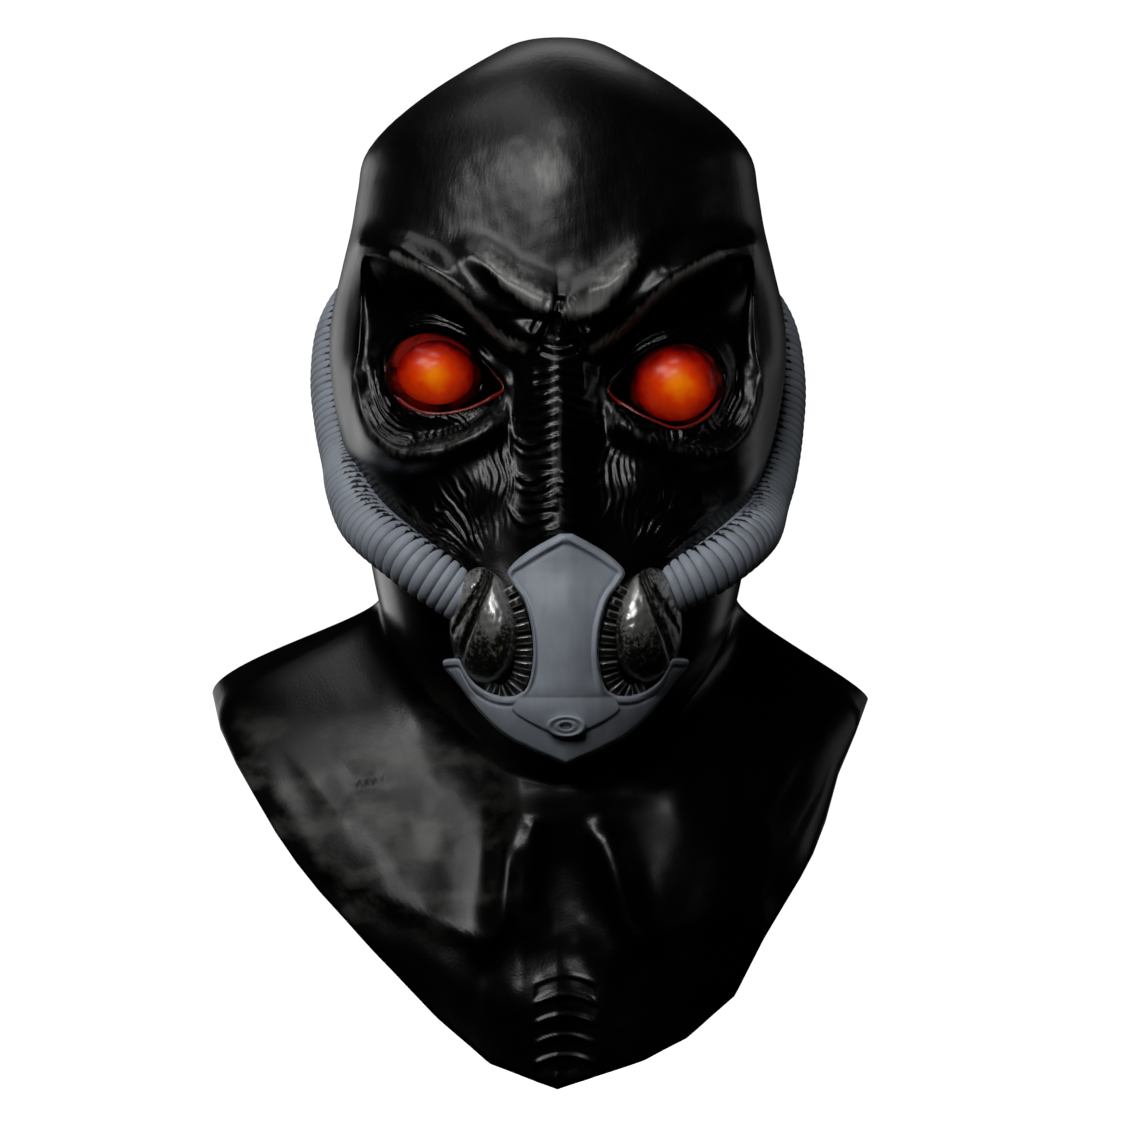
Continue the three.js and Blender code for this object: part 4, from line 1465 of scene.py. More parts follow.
@dataclass
class MaskSkin:
    """The cast latex skin with its wrinkles, its cut edge and its sight holes."""

    form: MaskForm
    eyes: tuple[Eye, ...]
    sights: Pair = (-31.5, 28.5)
    front_turn: float = 58.0
    front_columns: int = 92
    back_columns: int = 46
    fineness: int = 3
    face_rows: tuple[int, int] = (24, 102)
    ladder_rows: tuple[int, int] = (148, 171)
    ladder_columns: tuple[int, int] = (-10, 12)
    nose_middle: float = 0.9
    trunk_pitch: float = 5.2
    flank_pitch: float = 2.9
    cheek_turn: float = 0.15
    ladder_middle: float = 3.5
    ladder_pitch: float = 9.2
    chest_rise: float = 14.0
    hole_width: float = 7.0
    hole_height: float = 13.0
    hole_z: float = -171.5

    def angles(self) -> Array:
        """Turns of the columns, close together at the face, from the wearer's right round.

        Returns:
            Turns in degrees.
        """
        front = np.linspace(-self.front_turn, self.front_turn, self.front_columns, endpoint=False)
        back = np.linspace(self.front_turn, 360.0 - self.front_turn, self.back_columns, endpoint=False)
        return np.concatenate([front, back])

    @staticmethod
    def places() -> Array:
        """Places of the rows, close together at the face.

        Returns:
            Places from the crown to 2 at the bib's edge.
        """
        # From one of the head's sections to another, and the number of rows between them.
        spans = ((0.1, 1.0, 7), (1.0, 5.2, 17), (5.2, 14.0, 78), (14.0, 18.0, 20))
        bib_rows = 52
        last = len(HEAD_SECTIONS) - 1
        head = [np.linspace(a / last, b / last, n, endpoint=False) for a, b, n in spans]
        return np.concatenate([*head, np.linspace(1.0, 2.0, bib_rows)])

    def blocks(self) -> tuple[Block, ...]:
        """The face, and the ladder at the point of the bib.

        Returns:
            The blocks.
        """
        first, last = (self.front_columns // 2 + column for column in self.ladder_columns)
        return (
            Block(self.face_rows, (1, self.front_columns - 1)),
            Block(self.ladder_rows, (first, last)),
        )

    def lattice(self) -> tuple[Array, Array, Faces]:
        """The places, the angles and the faces of a lattice with finer blocks.

        Returns:
            The place and the angle of each point, and the faces' corners.
        """
        places, turns, fine = self.places(), self.angles(), self.fineness
        rows, columns = len(places), len(turns)
        wide = columns * fine
        numbers: dict[tuple[int, int], int] = {}

        def number(row: int, column: int) -> int:
            """The number of a point, which it is given when it is first asked for."""
            return numbers.setdefault((row, column % wide), len(numbers))

        for row in range(rows):
            for column in range(columns):
                number(row * fine, column * fine)
        cells = [(r, c) for r in range(rows - 1) for c in range(columns)]
        split = {cell for cell in cells if any(block.holds(*cell) for block in self.blocks())}
        faces = []
        for r, c in sorted(split):
            for i in range(r * fine, r * fine + fine):
                for j in range(c * fine, c * fine + fine):
                    faces.append(tuple(number(*k) for k in ((i, j), (i + 1, j), (i + 1, j + 1), (i, j + 1))))
        for r, c in cells:
            if (r, c) in split:
                continue
            i, j = r * fine, c * fine
            edge = [(i + k, j) for k in range(fine)] + [(i + fine, j + k) for k in range(fine)]
            edge += [(i + fine - k, j + fine) for k in range(fine)]
            edge += [(i, j + fine - k) for k in range(fine)]
            faces.append(tuple(numbers[k] for a, b in edge if (k := (a, b % wide)) in numbers))
        spots = np.array(list(numbers)) / fine
        place = np.interp(spots[:, 0], np.arange(rows), places)
        turns = np.append(turns, 360.0 - self.front_turn)
        turn = np.interp(spots[:, 1], np.arange(columns + 1), turns)
        return place, np.radians(np.where(turn > 180.0, turn - 360.0, turn)), faces

    def detail(self, x: Array, z: Array) -> Array:
        """How far the fine forms of face and chest stand out of the broad ones.

        Args:
            x: Points' places across.
            z: Points' heights.

        Returns:
            A height for each point.
        """
        rise = np.zeros(x.shape)
        on_face = z > -350
        on_chest = z < -320
        for line in FACE_LINES:
            rise[on_face] += line.height(x[on_face], z[on_face])
        for fold in CHEST_FOLDS:
            rise[on_chest] += fold.height(x[on_chest], z[on_chest])
        for eye in self.eyes:
            near = (np.abs(x - eye.across) < 60) & (np.abs(z - eye.height) < 50)
            rise[near] += eye.lids(x[near], z[near])
        for part in (self.trunk, self.flank, self.cheeks, self.chest, self.handwork):
            rise += part(x, z)
        return rise

    def trunk(self, x: Array, z: Array) -> Array:
        """Ridges across the nose, sagging to its sides and hooked up at its flanks.

        Args:
            x: Points' places across.
            z: Points' heights.

        Returns:
            A height for each point.
        """
        off = np.abs(x - self.nose_middle)
        warp = ripple(x, z, 22.0, 11) * 0.2 + ripple(x, z, 9.0, 12) * 0.06
        phase = (z + 0.36 * off - 6.5 * (off / 20.0) ** 5) / self.trunk_pitch + warp
        share = between(z, (-242, -232), (-166, -154))
        run = off + 2.0 * ripple(x, z, 15.0, 13)
        ridges = strands(phase, run, (-9.0, 27.0), 5, 3.0)
        uneven = 1.0 + 0.3 * ripple(x, z, 12.0, 14)
        return (ridges * uneven * np.where(x < 4.0, 2.2, 1.3) - 0.35 * (1 - smooth(17, 22, off))) * share

    def flank(self, x: Array, z: Array) -> Array:
        """Upright folds beside the nose that lead from the eye's corner down to the cheek.

        Args:
            x: Points' places across.
            z: Points' heights.

        Returns:
            A height for each point.
        """
        off = np.abs(x - self.nose_middle)
        warp = ripple(x, z, 24.0, 15) * 0.35 + ripple(x, z, 9.0, 16) * 0.08
        phase = (off - 0.0022 * (z + 215.0) ** 2) / self.flank_pitch + warp
        share = between(off, (17, 21), (30, 38))
        run = -z + 6.0 * ripple(x, z, 12.0, 17)
        return strands(phase, run, (160.0, 262.0), 7, 4.0) * 1.2 * share

    def cheeks(self, x: Array, z: Array) -> Array:
        """Wrinkles that run down over the cheeks to the top of the respirator.

        Args:
            x: Points' places across.
            z: Points' heights.

        Returns:
            A height for each point.
        """
        off = np.abs(x - 1.0)
        u, v = off - 28.0, z + 252.0
        out = np.hypot(u, v)
        turn = np.arctan2(u, v) + 0.006 * (out - 20.0)
        warp = ripple(x, z, 26.0, 21) * 0.45 + ripple(x, z, 11.0, 22) * 0.08 + 0.4 * (x > 1.0)
        share = between(turn, (0.15, 0.35), (1.25, 1.5))
        long = strands(turn / self.cheek_turn + warp, out, (2.0, 66.0), 8, 4.0)
        short = strands(turn / self.cheek_turn + warp + 0.5, out, (18.0, 62.0), 9, 4.0)
        strength = (1.6 - 1.3 * smooth(-228, -205, z)) * smooth(2, 12, out)
        full = 4.0 * bell(off, 35.0, 12.0) * bell(z, -214.0, 13.0)
        return (long + 0.7 * short) * strength * share + full

    def chest(self, x: Array, z: Array) -> Array:
        """The full middle of the chest, and the ladder of low arcs at the point of the bib.

        Args:
            x: Points' places across.
            z: Points' heights.

        Returns:
            A height for each point.
        """
        off = np.abs(x - self.ladder_middle)
        arch = z + 437.5 + 0.02 * off**2
        share = (1 - smooth(-2.0, 1.0, arch)) * (1 - smooth(12, 15, off))
        body = between(z, (-492, -366), (-358, -332)) * between(x, (-36, -15), (45, 115))
        return crests(arch / self.ladder_pitch, 6.0) * 1.2 * share + self.chest_rise * body

    @staticmethod
    def handwork(x: Array, z: Array) -> Array:
        """Slight unevenness of a form worked by hand."""
        low = 1 - smooth(-350, -320, z)
        return ripple(x, z, 34.0, 31) * (0.22 + 0.55 * low) + ripple(x, z, 11.0, 32) * 0.07

    @staticmethod
    def satin(x: Array, z: Array) -> Array:
        """How dull the surface is, on the forehead, brow, bags and sides and under the chin.

        Args:
            x: Points' places across.
            z: Points' heights.

        Returns:
            A share for each point, more than 1 where a highlight is kept off.
        """
        off = np.abs(x)
        point = smooth(-6.0, 6.0, z + 136.0 - 0.82 * np.minimum(off, 48.0)) * (z > -140)
        bag = 0.5 * band_along(off, z, BAG_RIDGE, 5.0, 40)
        brow = 0.4 * band_along(off, z, BROW_EDGE.line[:8], 5.0)
        side = 0.9 * smooth(90.0, 97.0, off) * (z > -230)
        chin = 3.2 * bell(x, 4.0, 34.0) * bell(z, -351.0, 9.0)
        tendon = 2.6 * bell(x, 45.0, 13.0) * bell(z, -374.0, 17.0)
        return np.maximum.reduce([point, bag, brow, side, chin, tendon])

    @staticmethod
    def dry(x: Array, z: Array) -> Array:
        """How much grey is brushed on as painted highlights: on the forehead's lip, brow, bags, keel and
        nose.

        Args:
            x: Points' places across.
            z: Points' heights.

        Returns:
            A share for each point.
        """
        off = np.abs(x)
        lips = []
        for lip, upper_hand in ((RIGHT_LIP, 1), (LEFT_LIP, -1)):
            away, hand, share = to_line(x, z - 1.0, np.array(lip.line))
            width = np.where(hand == upper_hand, 7.5, 3.0)
            lips.append(bell(away, 0.0, width) * between(share, (0.0, 0.35), (0.92, 1.0)))
        crest = 0.95 * band_along(off, z + 0.5, BROW_CREST.line, 2.4, 30)
        bag = 0.3 * band_along(off, z, BAG_RIDGE, 4.0, 40)
        keel = bell(x, -4.0, 7.5) * bell(z, -72.0, 14.0)
        nose = 0.35 * bell(x, -1.0, 3.5) * between(z, (-240, -225), (-150, -140))
        return np.maximum.reduce([*lips, crest, bag, keel, nose]) * (z > -250)

    def outer(self, place: Array, angle: Array) -> tuple[Array, Array]:
        """Points of the finished outside, and how far the fine forms moved each of them.

        Args:
            place: 0 at the crown, 1 at the neck's root and 2 at the bib's edge.
            angle: Turns from the face, positive towards the wearer's left.

        Returns:
            The points, and their movements.
        """
        points = self.form.surface(place, angle)
        moved = self.detail(points[:, 0], points[:, 2]) * self.form.facing(angle)
        points[:, 1] -= moved
        return points, moved

    def build(self, finish: bpy.types.Material) -> BVHTree:
        """Makes the skin, and gives back its outside for other pieces to find.

        Args:
            finish: Its finish.

        Returns:
            The outside.
        """
        place, angle, outside = self.lattice()
        outer, moved = self.outer(place, angle)
        columns = len(self.angles())
        coarse = np.concatenate([np.linspace(0.03, 1.0, 60, endpoint=False), np.linspace(1.0, 2.0, 14)])
        turns = np.radians(self.angles())
        turns = np.where(turns > math.pi, turns - 2 * math.pi, turns)
        inner = self.form.outside(coarse, turns)
        normals = self.normals(inner)
        sunk = self.sunk(place, angle, moved, coarse, turns)
        edge = (len(self.places()) - 1) * columns
        inner[-1] = outer[edge : edge + columns]
        inner -= normals * (self.form.wall + sunk[..., None])
        top, under = [[0.0, 0.0, self.form.wall]], [[0.0, 0.0, 0.0]]
        points = np.vstack([outer, top, under, inner.reshape(-1, 3)])
        count = len(outer)
        faces = outside + [(count, k, (k + 1) % columns) for k in range(columns)]
        first = count + 2
        inside = grid_faces(len(coarse), columns, wrap=True, start=first)
        inside += [(count + 1, first + k, first + (k + 1) % columns) for k in range(columns)]
        faces += [tuple(reversed(face)) for face in inside]
        lip = first + (len(coarse) - 1) * columns
        for k in range(columns):
            n = (k + 1) % columns
            faces.append((edge + k, lip + k, lip + n, edge + n))
        front = smooth(10.0, 40.0, -points[:, 1])
        fields = {
            "satin": self.satin(points[:, 0], points[:, 2]) * front,
            # Grey brushed on where highlights fall: painted highlights.
            "dry": self.dry(points[:, 0], points[:, 2]) * front,
        }
        skin = make_piece("latex_skin", points, faces, fields)
        for sight in self.sights:
            self.cut_sight(skin, sight)
        dress(skin, finish, "black_latex", "mask_skin")
        return BVHTree.FromPolygons(outer.tolist(), outside)

    @staticmethod
    def sunk(place: Array, angle: Array, moved: Array, coarse: Array, turns: Array) -> Array:
        """How much deeper the inside must lie, where the outside is grooved.

        Args:
            place: Places of the outside's points.
            angle: Their turns.
            moved: How far out the fine forms moved them.
            coarse: Places of the inside's rows.
            turns: Turns of the inside's columns.

        Returns:
            A depth for each point of the inside.
        """
        row = np.round(np.interp(place, coarse, np.arange(len(coarse)))).astype(int)
        order = np.argsort(turns)
        column = order[np.clip(np.searchsorted(turns[order], angle), 0, len(turns) - 1)]
        depth = np.zeros((len(coarse), len(turns)))
        np.maximum.at(depth, (row, column), np.maximum(-moved, 0.0))
        for _ in range(2):
            depth = np.maximum.reduce([np.roll(depth, k, axis=a) for k in (-1, 0, 1) for a in (0, 1)])
        depth[-2:] = 0.0
        depth[:4] = 0.0
        return depth

    @staticmethod
    def normals(points: Array) -> Array:
        """Outward normals of a grid of points.

        Args:
            points: Rows by columns of points.

        Returns:
            A unit vector for each point.
        """
        down = np.gradient(points, axis=0)
        across = np.roll(points, -1, axis=1) - np.roll(points, 1, axis=1)
        normal = np.cross(down, across)
        return normal / np.maximum(np.linalg.norm(normal, axis=-1, keepdims=True), 1e-9)

    def cut_sight(self, skin: bpy.types.Object, sight: float) -> None:
        """Cuts the hole that the wearer sees through.

        Args:
            skin: The skin.
            sight: The hole's place across.
        """
        path = np.array([(sight, -140.0, self.hole_z), (sight, -50.0, self.hole_z)])
        points, faces = sweep(path, np.full(2, 0.5), 32, Vector((0, 0, 1)))
        points = path[0] + (points - path[0]) * (self.hole_width, 1.0, self.hole_height)
        cutter = make_piece("sight_cutter", points, faces)
        cut = skin.modifiers.new("sight", "BOOLEAN")
        cut.operation, cut.solver, cut.object = "DIFFERENCE", "MANIFOLD", cutter
        with bpy.context.temp_override(object=skin, active_object=skin):
            bpy.ops.object.modifier_apply(modifier=cut.name)
        bpy.data.objects.remove(cutter)


# The plate's outline and height: down, half width, proud.
PLATE_ROWS = np.array(
    [
        (0.0, 0.05, 0.55),
        (0.05, 0.22, 0.7),
        (0.1, 0.36, 0.8),
        (0.165, 0.47, 0.85),
        (0.22, 0.43, 0.9),
        (0.29, 0.34, 0.95),
        (0.4, 0.28, 1.0),
        (0.51, 0.262, 1.05),
        (0.6, 0.275, 1.1),
        (0.66, 0.303, 1.13),
        (0.7, 0.345, 1.15),
        (0.735, 0.4, 1.15),
        (0.765, 0.432, 1.15),
        (0.79, 0.415, 1.15),
        (0.82, 0.33, 1.15),
        (0.85, 0.225, 1.15),
        (0.88, 0.115, 1.15),
        (0.902, 0.02, 1.15),
    ]
)
# The jaw guard from its middle out to one tip: across, top, foot, proud.
GUARD_ROWS = np.array(
    [
        (0.0, 0.8, 1.022, 1.0),
        (0.13, 0.77, 0.99, 1.0),
        (0.25, 0.7, 0.962, 1.0),
        (0.33, 0.69, 0.94, 1.0),
        (0.42, 0.712, 0.917, 1.0),
        (0.54, 0.712, 0.872, 1.0),
        (0.66, 0.69, 0.81, 0.98),
        (0.76, 0.648, 0.75, 0.95),
        (0.825, 0.592, 0.704, 0.9),
        (0.865, 0.553, 0.675, 0.87),
        (0.93, 0.552, 0.633, 0.8),
        (0.985, 0.557, 0.602, 0.75),
        (1.0, 0.565, 0.592, 0.7),
    ]
)
# The crease between a pod's lobes and the fold over it, in shares of its half width and height
# towards the plate and up.
POD_CREASE = ((0.42, 1.0), (0.33, 0.78), (-0.1, 0.3), (-0.5, -0.2), (-0.8, -0.75))
POD_FOLD = ((0.3, 1.0), (0.05, 0.72), (-0.45, 0.35), (-0.85, -0.05))
# A vent comb beside the plate: across, down.
COMB_ROWS = np.array(
    [(0.49, 0.235), (0.405, 0.33), (0.35, 0.45), (0.345, 0.57), (0.4, 0.66), (0.52, 0.705), (0.66, 0.675)]
)


@dataclass
class Respirator:
    """The centre plate with its valve, the jaw guard, the filter pods and the vent combs."""

    form: MaskForm
    shift: float = 4.0
    top: float = 239.0
    tall: float = 102.5
    wide: float = 112.0
    plate_rise: float = 9.0
    rim_rise: float = 2.2
    top_rim: float = 4.5
    right_rim: float = 1.8
    left_rim: float = 3.0
    guard_rise: float = 8.0
    turn_under: float = -310.0
    under_slope: float = 0.42
    pod_width: float = 31.0
    pod_height: float = 53.0
    pod_rise: float = 17.0
    pod_across: float = 0.67
    pod_down: float = 0.405
    pod_lean: float = 4.0
    pod_taper: float = 0.12
    comb_width: float = 8.0
    teeth: int = 11
    tooth_rise: float = 4.2
    valve_down: float = 0.843
    valve_width: float = 18.0
    valve_height: float = 10.0
    turn_ease: float = 8.0

    def stand(self, x: Array, z: Array) -> Array:
        """How much prouder the grey pieces stand under the mouth, where the face curves away.

        Args:
            x: Points' places across.
            z: Points' heights.

        Returns:
            A height for each point.
        """
        level = self.form.face_y(x, np.maximum(z, self.turn_under))
        below = np.maximum(self.turn_under - z, 0.0)
        carried = level + self.under_slope * (np.hypot(below, self.turn_ease) - self.turn_ease)
        return np.maximum(0.0, self.form.face_y(x, z) - carried)

    def spot(self, across: Array, down: Array) -> tuple[Array, Array]:
        """A place on the respirator as x and z, from shares of its half width and height."""
        x = self.shift + np.asarray(across) * self.wide / 2
        return x, self.form.wall - self.top - np.asarray(down) * self.tall

    def plate(self, finish: bpy.types.Material) -> None:
        """Makes the centre plate with its keel and rims.

        Args:
            finish: Its finish.
        """
        rows, columns = 110, 65
        table = along(PLATE_ROWS, np.linspace(0, 1, rows))
        side = np.sin(np.linspace(-math.pi / 2, math.pi / 2, columns))
        half = np.maximum(table[:, 1], 0.02)[:, None] * self.wide / 2
        x = self.shift + side[None] * half
        z = np.broadcast_to(self.spot(0.0, table[:, 0])[1][:, None], x.shape)
        edge = np.vstack([np.stack([x[:, 0], z[:, 0]], -1), np.stack([x[::-1, -1], z[::-1, -1]], -1)])
        inset = to_line(x, z, edge, closed=True)[0]
        down = table[:, 0][:, None]
        fall = 0.3 - 0.19 * smooth(0.6, 0.7, down)
        crown = self.plate_rise * table[:, 2][:, None] * (1 - fall * np.abs(side)[None] ** 1.35)
        band = np.where(side[None] < 0, self.right_rim, self.left_rim)
        band = band + (self.top_rim - band) * (1 - smooth(0.12, 0.2, down))
        rim = smooth(0.0, 0.9, inset) * (1 - smooth(band - 1.2, band, inset))
        groove = bell(inset, band + 0.5, 0.7)
        tip = 1 - smooth(0.63, 0.72, down)
        flush = between(down, (0.66, 0.7), (0.765, 0.785))
        rise = crown + (self.rim_rise * rim - 0.5 * groove) * tip + self.stand(x, z)
        rise -= 1.4 * (1 - smooth(0.0, 1.1, inset)) * (1 - flush)
        foot = (1 - smooth(0.2, 0.9, inset)) * (1 - tip) * (1 - flush)
        # Painted shade along the rim's groove and at the plate's foot.
        fields = {"edge": 0.25 * groove * tip + 0.35 * foot}
        piece = relief_piece("respirator_plate", self.form, np.stack([x, z, rise], -1), 1.0, fields)
        dress(piece, finish, "grey_plate", "centre_plate")

    def guard(self, finish: bpy.types.Material) -> None:
        """Makes the guard that runs under the jaw from tip to tip.

        Args:
            finish: Its finish.
        """
        steps, across = 170, 40
        place = np.linspace(-1, 1, steps)
        table = along(GUARD_ROWS, np.abs(place))
        share = np.linspace(0, 1, across)
        x, top = self.spot(np.sign(place) * table[:, 0], table[:, 1])
        foot = self.spot(0.0, table[:, 2])[1]
        grid_x = np.repeat(x[:, None], across, axis=1)
        grid_z = top[:, None] + (foot - top)[:, None] * share[None]
        width = (top - foot)[:, None]
        over, under = share[None] * width, (1 - share)[None] * width
        swell = 0.7 + 0.3 * (1 - share[None] ** 3)
        band = 1 - smooth(2.6, 3.8, over)
        rise = self.guard_rise * table[:, 3][:, None] * swell + 1.1 * band + self.stand(grid_x, grid_z)
        groove = bell(over, 4.2, 0.8) * smooth(0.28, 0.36, table[:, 0])[:, None]
        rise = rise - 1.6 * (1 - smooth(0.0, 1.2, over)) - 2.2 * (1 - smooth(0.0, 2.0, under)) - 0.7 * groove
        # Painted shade along the groove.
        fields = {"edge": 0.3 * groove}
        piece = relief_piece("jaw_shield", self.form, np.stack([grid_x, grid_z, rise], -1), 1.0, fields)
        dress(piece, finish, "grey_plate", "jaw_guard")

    def pod(self, side: Side, finish: bpy.types.Material) -> None:
        """Makes a filter pod with a smooth lobe, a deep crease and a folded outer lobe.

        Args:
            side: The side of the wearer.
            finish: Its finish.
        """
        count = 72
        h, v = np.meshgrid(np.linspace(-1, 1, count), np.linspace(1, -1, count))
        across, up = h * np.sqrt(1 - v * v / 2), v * np.sqrt(1 - h * h / 2)
        x, z = self.pod_place(side, across, up)
        toward = -across * side.value  # 1 at the plate's side
        base = np.sqrt(np.maximum(0.0, 1 - across**2 - up**2))
        off, hand, _ = to_line(toward, up, np.array(POD_CREASE))
        fold_off = to_line(toward, up, np.array(POD_FOLD))[0]
        outer = smooth(0.0, 0.25, np.where(hand > 0, 0.0, off))
        cut = 0.3 * bell(off, 0.0, 0.07) + 0.16 * bell(fold_off, 0.0, 0.06)
        dome = base * (1.0 - 0.16 * outer + 0.06 * (toward - up)) - cut * smooth(0.05, 0.4, base)
        rough = ripple(x, z, 5.0, 41) * (0.15 + 0.3 * outer)
        rise = self.pod_rise * dome + rough * smooth(0.02, 0.3, base)
        # Silver heaviest on the upper part of each lobe, where light falls: partly rubbed silver, partly
        # painted highlight.
        on_main = 1.5 * bell(toward, 0.22, 0.6) * bell(up, 0.42, 0.5) * smooth(0.05, 0.2, off)
        on_fold = 0.9 * outer * smooth(0.04, 0.15, fold_off) * bell(up, 0.5, 0.4)
        fields = {"high": np.where(hand > 0, on_main, on_fold) + 0.22}
        piece = relief_piece(f"{side.label}_pod", self.form, np.stack([x, z, rise], -1), 1.0, fields)
        dress(piece, finish, "dark_silver", f"{side.label}_filter_pod")

    def pod_place(self, side: Side, across: Array, up: Array) -> tuple[Array, Array]:
        """x and z of places in a pod's own outline.

        Args:
            side: The side of the wearer.
            across: Shares of the pod's half width.
            up: Shares of its half height.

        Returns:
            Places across, and heights.
        """
        lean = math.radians(self.pod_lean) * side.value
        middle_x, middle_z = self.spot(self.pod_across * side.value, self.pod_down)
        px = across * self.pod_width / 2 * (1 - self.pod_taper * up)
        pz = up * self.pod_height / 2
        x = middle_x + px * math.cos(lean) + pz * math.sin(lean)
        return x, middle_z + pz * math.cos(lean) - px * math.sin(lean)

    def comb(self, side: Side, finish: bpy.types.Material) -> None:
        """Makes the row of teeth between the plate and a pod.

        Args:
            side: The side of the wearer.
            finish: Its finish.
        """
        path = rounded(COMB_ROWS, 200)
        line = np.stack(self.spot(path[:, 0] * side.value, path[:, 1]), -1)
        line = evenly(line, self.teeth * 16)
        ahead = np.gradient(line, axis=0)
        ahead /= np.linalg.norm(ahead, axis=1)[:, None]
        across = np.stack([ahead[:, 1], -ahead[:, 0]], -1) * side.value
        share = np.linspace(-1, 1, 13)
        grid = line[:, None] - across[:, None] * share[None, :, None] * self.comb_width / 2
        count = np.linspace(0.0, self.teeth, len(line))
        phase = count % 1.0
        uneven = 1 + 0.25 * np.sin(np.floor(count) * 2.4)[:, None]
        tooth = between(phase, (0.04, 0.2), (0.66, 0.84))
        rise = 1.8 + tooth[:, None] * uneven * (self.tooth_rise - 1.5 * np.abs(share)[None] ** 3)
        # Bright bands along the teeth's edges, stronger on the upper edge: painted highlights.
        lit = bell(phase, 0.17, 0.06) + 0.6 * bell(phase, 0.7, 0.06)
        fields = {"high": 0.1 + (lit * 1.8)[:, None] * uneven * (1 - 0.5 * np.abs(share)[None] ** 2)}
        rows = np.concatenate([grid, rise[..., None]], -1)
        piece = relief_piece(f"{side.label}_comb", self.form, rows, 1.0, fields)
        dress(piece, finish, "dark_silver", f"{side.label}_vent_comb")

    def valve(self, finish: bpy.types.Material) -> None:
        """Makes the oval boss with its hole.

        Args:
            finish: Its finish.
        """
        x, z = self.spot(0.0, self.valve_down)
        front = float(self.form.face_y(x, z) - self.stand(x, z)) - self.plate_rise * PLATE_ROWS[-1, 2]
        # From the hole out: share of the half width, and height.
        profile = np.array(
            [(0.001, -2.0), (0.22, -2.0), (0.26, 0.0), (0.3, 1.5), (0.36, 2.0), (0.45, 2.1), (0.55, 1.6),
             (0.64, 1.3), (0.74, 1.8), (0.84, 2.3), (0.93, 2.0), (0.99, 1.0), (1.0, 0.0), (1.0, -7.0)]
        )
        sides = 64
        turn = np.linspace(0, 2 * math.pi, sides, endpoint=False)[None]
        r, h = profile.T[:, :, None]
        px, pz = r * np.cos(turn) * self.valve_width / 2, r * np.sin(turn) * self.valve_height / 2
        points = np.stack([x + px, front - h - self.under_slope * pz, z + pz], -1)
        faces = grid_faces(len(profile), sides, wrap=True)
        last = (len(profile) - 1) * sides
        faces += [tuple(range(sides)), tuple(reversed(range(last, last + sides)))]
        # Painted shade inside the blind hole and in the groove between its rings.
        dark = np.where(profile[:, 0] < 0.28, 1.6, 0.5 * bell(profile[:, 0], 0.64, 0.05))
        piece = make_piece("valve", points.reshape(-1, 3), faces, {"edge": np.repeat(dark, sides)})
        dress(piece, finish, "grey_plate", "valve_boss")


# The hoses' routes from pod to nape: turn in degrees, drop and lift as shares.
RIGHT_HOSE = np.array(
    [
        (21, 0.955, -0.2), (29, 0.9134, 0.2), (36, 0.8767, 0.36), (43.5, 0.8478, 0.36), (51, 0.8192, 0.28),
        (61.5, 0.7715, 0.12), (74.5, 0.7312, 0.0), (87, 0.661, 0.0), (98, 0.578, -0.02), (110, 0.487, -0.04),
        (125, 0.416, -0.02), (142, 0.382, 0.03), (155, 0.392, -0.1), (163, 0.401, -0.55),
    ]
)
LEFT_HOSE = np.array(
    [
        (26, 0.941, -0.2), (34, 0.912, 0.2), (41.5, 0.88, 0.36), (49, 0.8556, 0.34), (57.5, 0.835, 0.22),
        (68, 0.797, 0.12), (79, 0.747, 0.14), (90, 0.669, 0.08), (100, 0.583, 0.0), (113, 0.487, -0.04),
        (127, 0.416, -0.02), (142, 0.382, 0.03), (155, 0.392, -0.1), (163, 0.401, -0.55),
    ]
)


@dataclass
class Hose:
    """A ribbed breathing hose from a pod round to the back of the head."""

    form: MaskForm
    side: Side
    route: Array
    pod_drop: float
    diameter: float = 25.0
    pitch: float = 4.6
    depth: float = 1.4
    sides: int = 36
    steps_per_rib: int = 8

    def build(self, finish: bpy.types.Material) -> None:
        """Makes the hose.

        Args:
            finish: Its finish.
        """
        knots = []
        for turn, drop, lift in self.route:
            z = self.form.wall - drop * self.pod_drop
            knots.append(self.form.beside(turn, z, self.side, lift * self.diameter))
        fine = rounded(np.array(knots), 600)
        ribs = round(line_length(fine)[-1] / self.pitch)
        path = evenly(fine, ribs * self.steps_per_rib + 1)
        for _ in range(20):
            path[1:-1] = (path[:-2] + 2 * path[1:-1] + path[2:]) / 4
        phase = np.linspace(0.0, ribs, len(path))
        wave = np.abs(np.sin(math.pi * phase)) ** 0.42
        radii = self.diameter / 2 - self.depth * (1 - wave)
        points, faces = sweep(path, radii, self.sides, Vector((0, 0, 1)))
        groove = np.repeat(1 - wave, self.sides)
        turn = np.tile(np.linspace(0, 2 * math.pi, self.sides, endpoint=False), len(path))
        fields = {"groove": groove, "upper": np.maximum(np.cos(turn), 0.0)}
        hose = make_piece(f"{self.side.label}_ribbed_hose", points, faces, fields)
        dress(hose, finish, "hose_paint", f"{self.side.label}_hose")


# Name, place from the middle of the mask, power, and width and height, in metres and watts.
LAMPS = (
    ("key", (-0.8, -1.25, 1.15), 6.0, (0.7, 0.5)),
    ("front_left", (-0.5, -1.6, 0.75), 2.0, (0.4, 0.4)),
    ("front_high", (-0.12, -1.6, 1.0), 2.6, (0.4, 0.3)),
    ("top_front", (-0.1, -0.9, 1.6), 2.4, (0.5, 0.3)),
    ("overhead", (-0.5, -0.1, 1.5), 1.7, (0.9, 0.6)),
    ("back_top", (0.0, 1.2, 1.4), 1.6, (1.0, 0.5)),
    ("left_rim", (-1.2, 1.6, 0.1), 3.4, (0.9, 1.2)),
    ("right_side", (1.8, 0.2, 0.4), 0.4, (0.4, 1.0)),
    ("right_rim", (1.3, 1.5, 0.2), 0.5, (0.5, 1.2)),
)


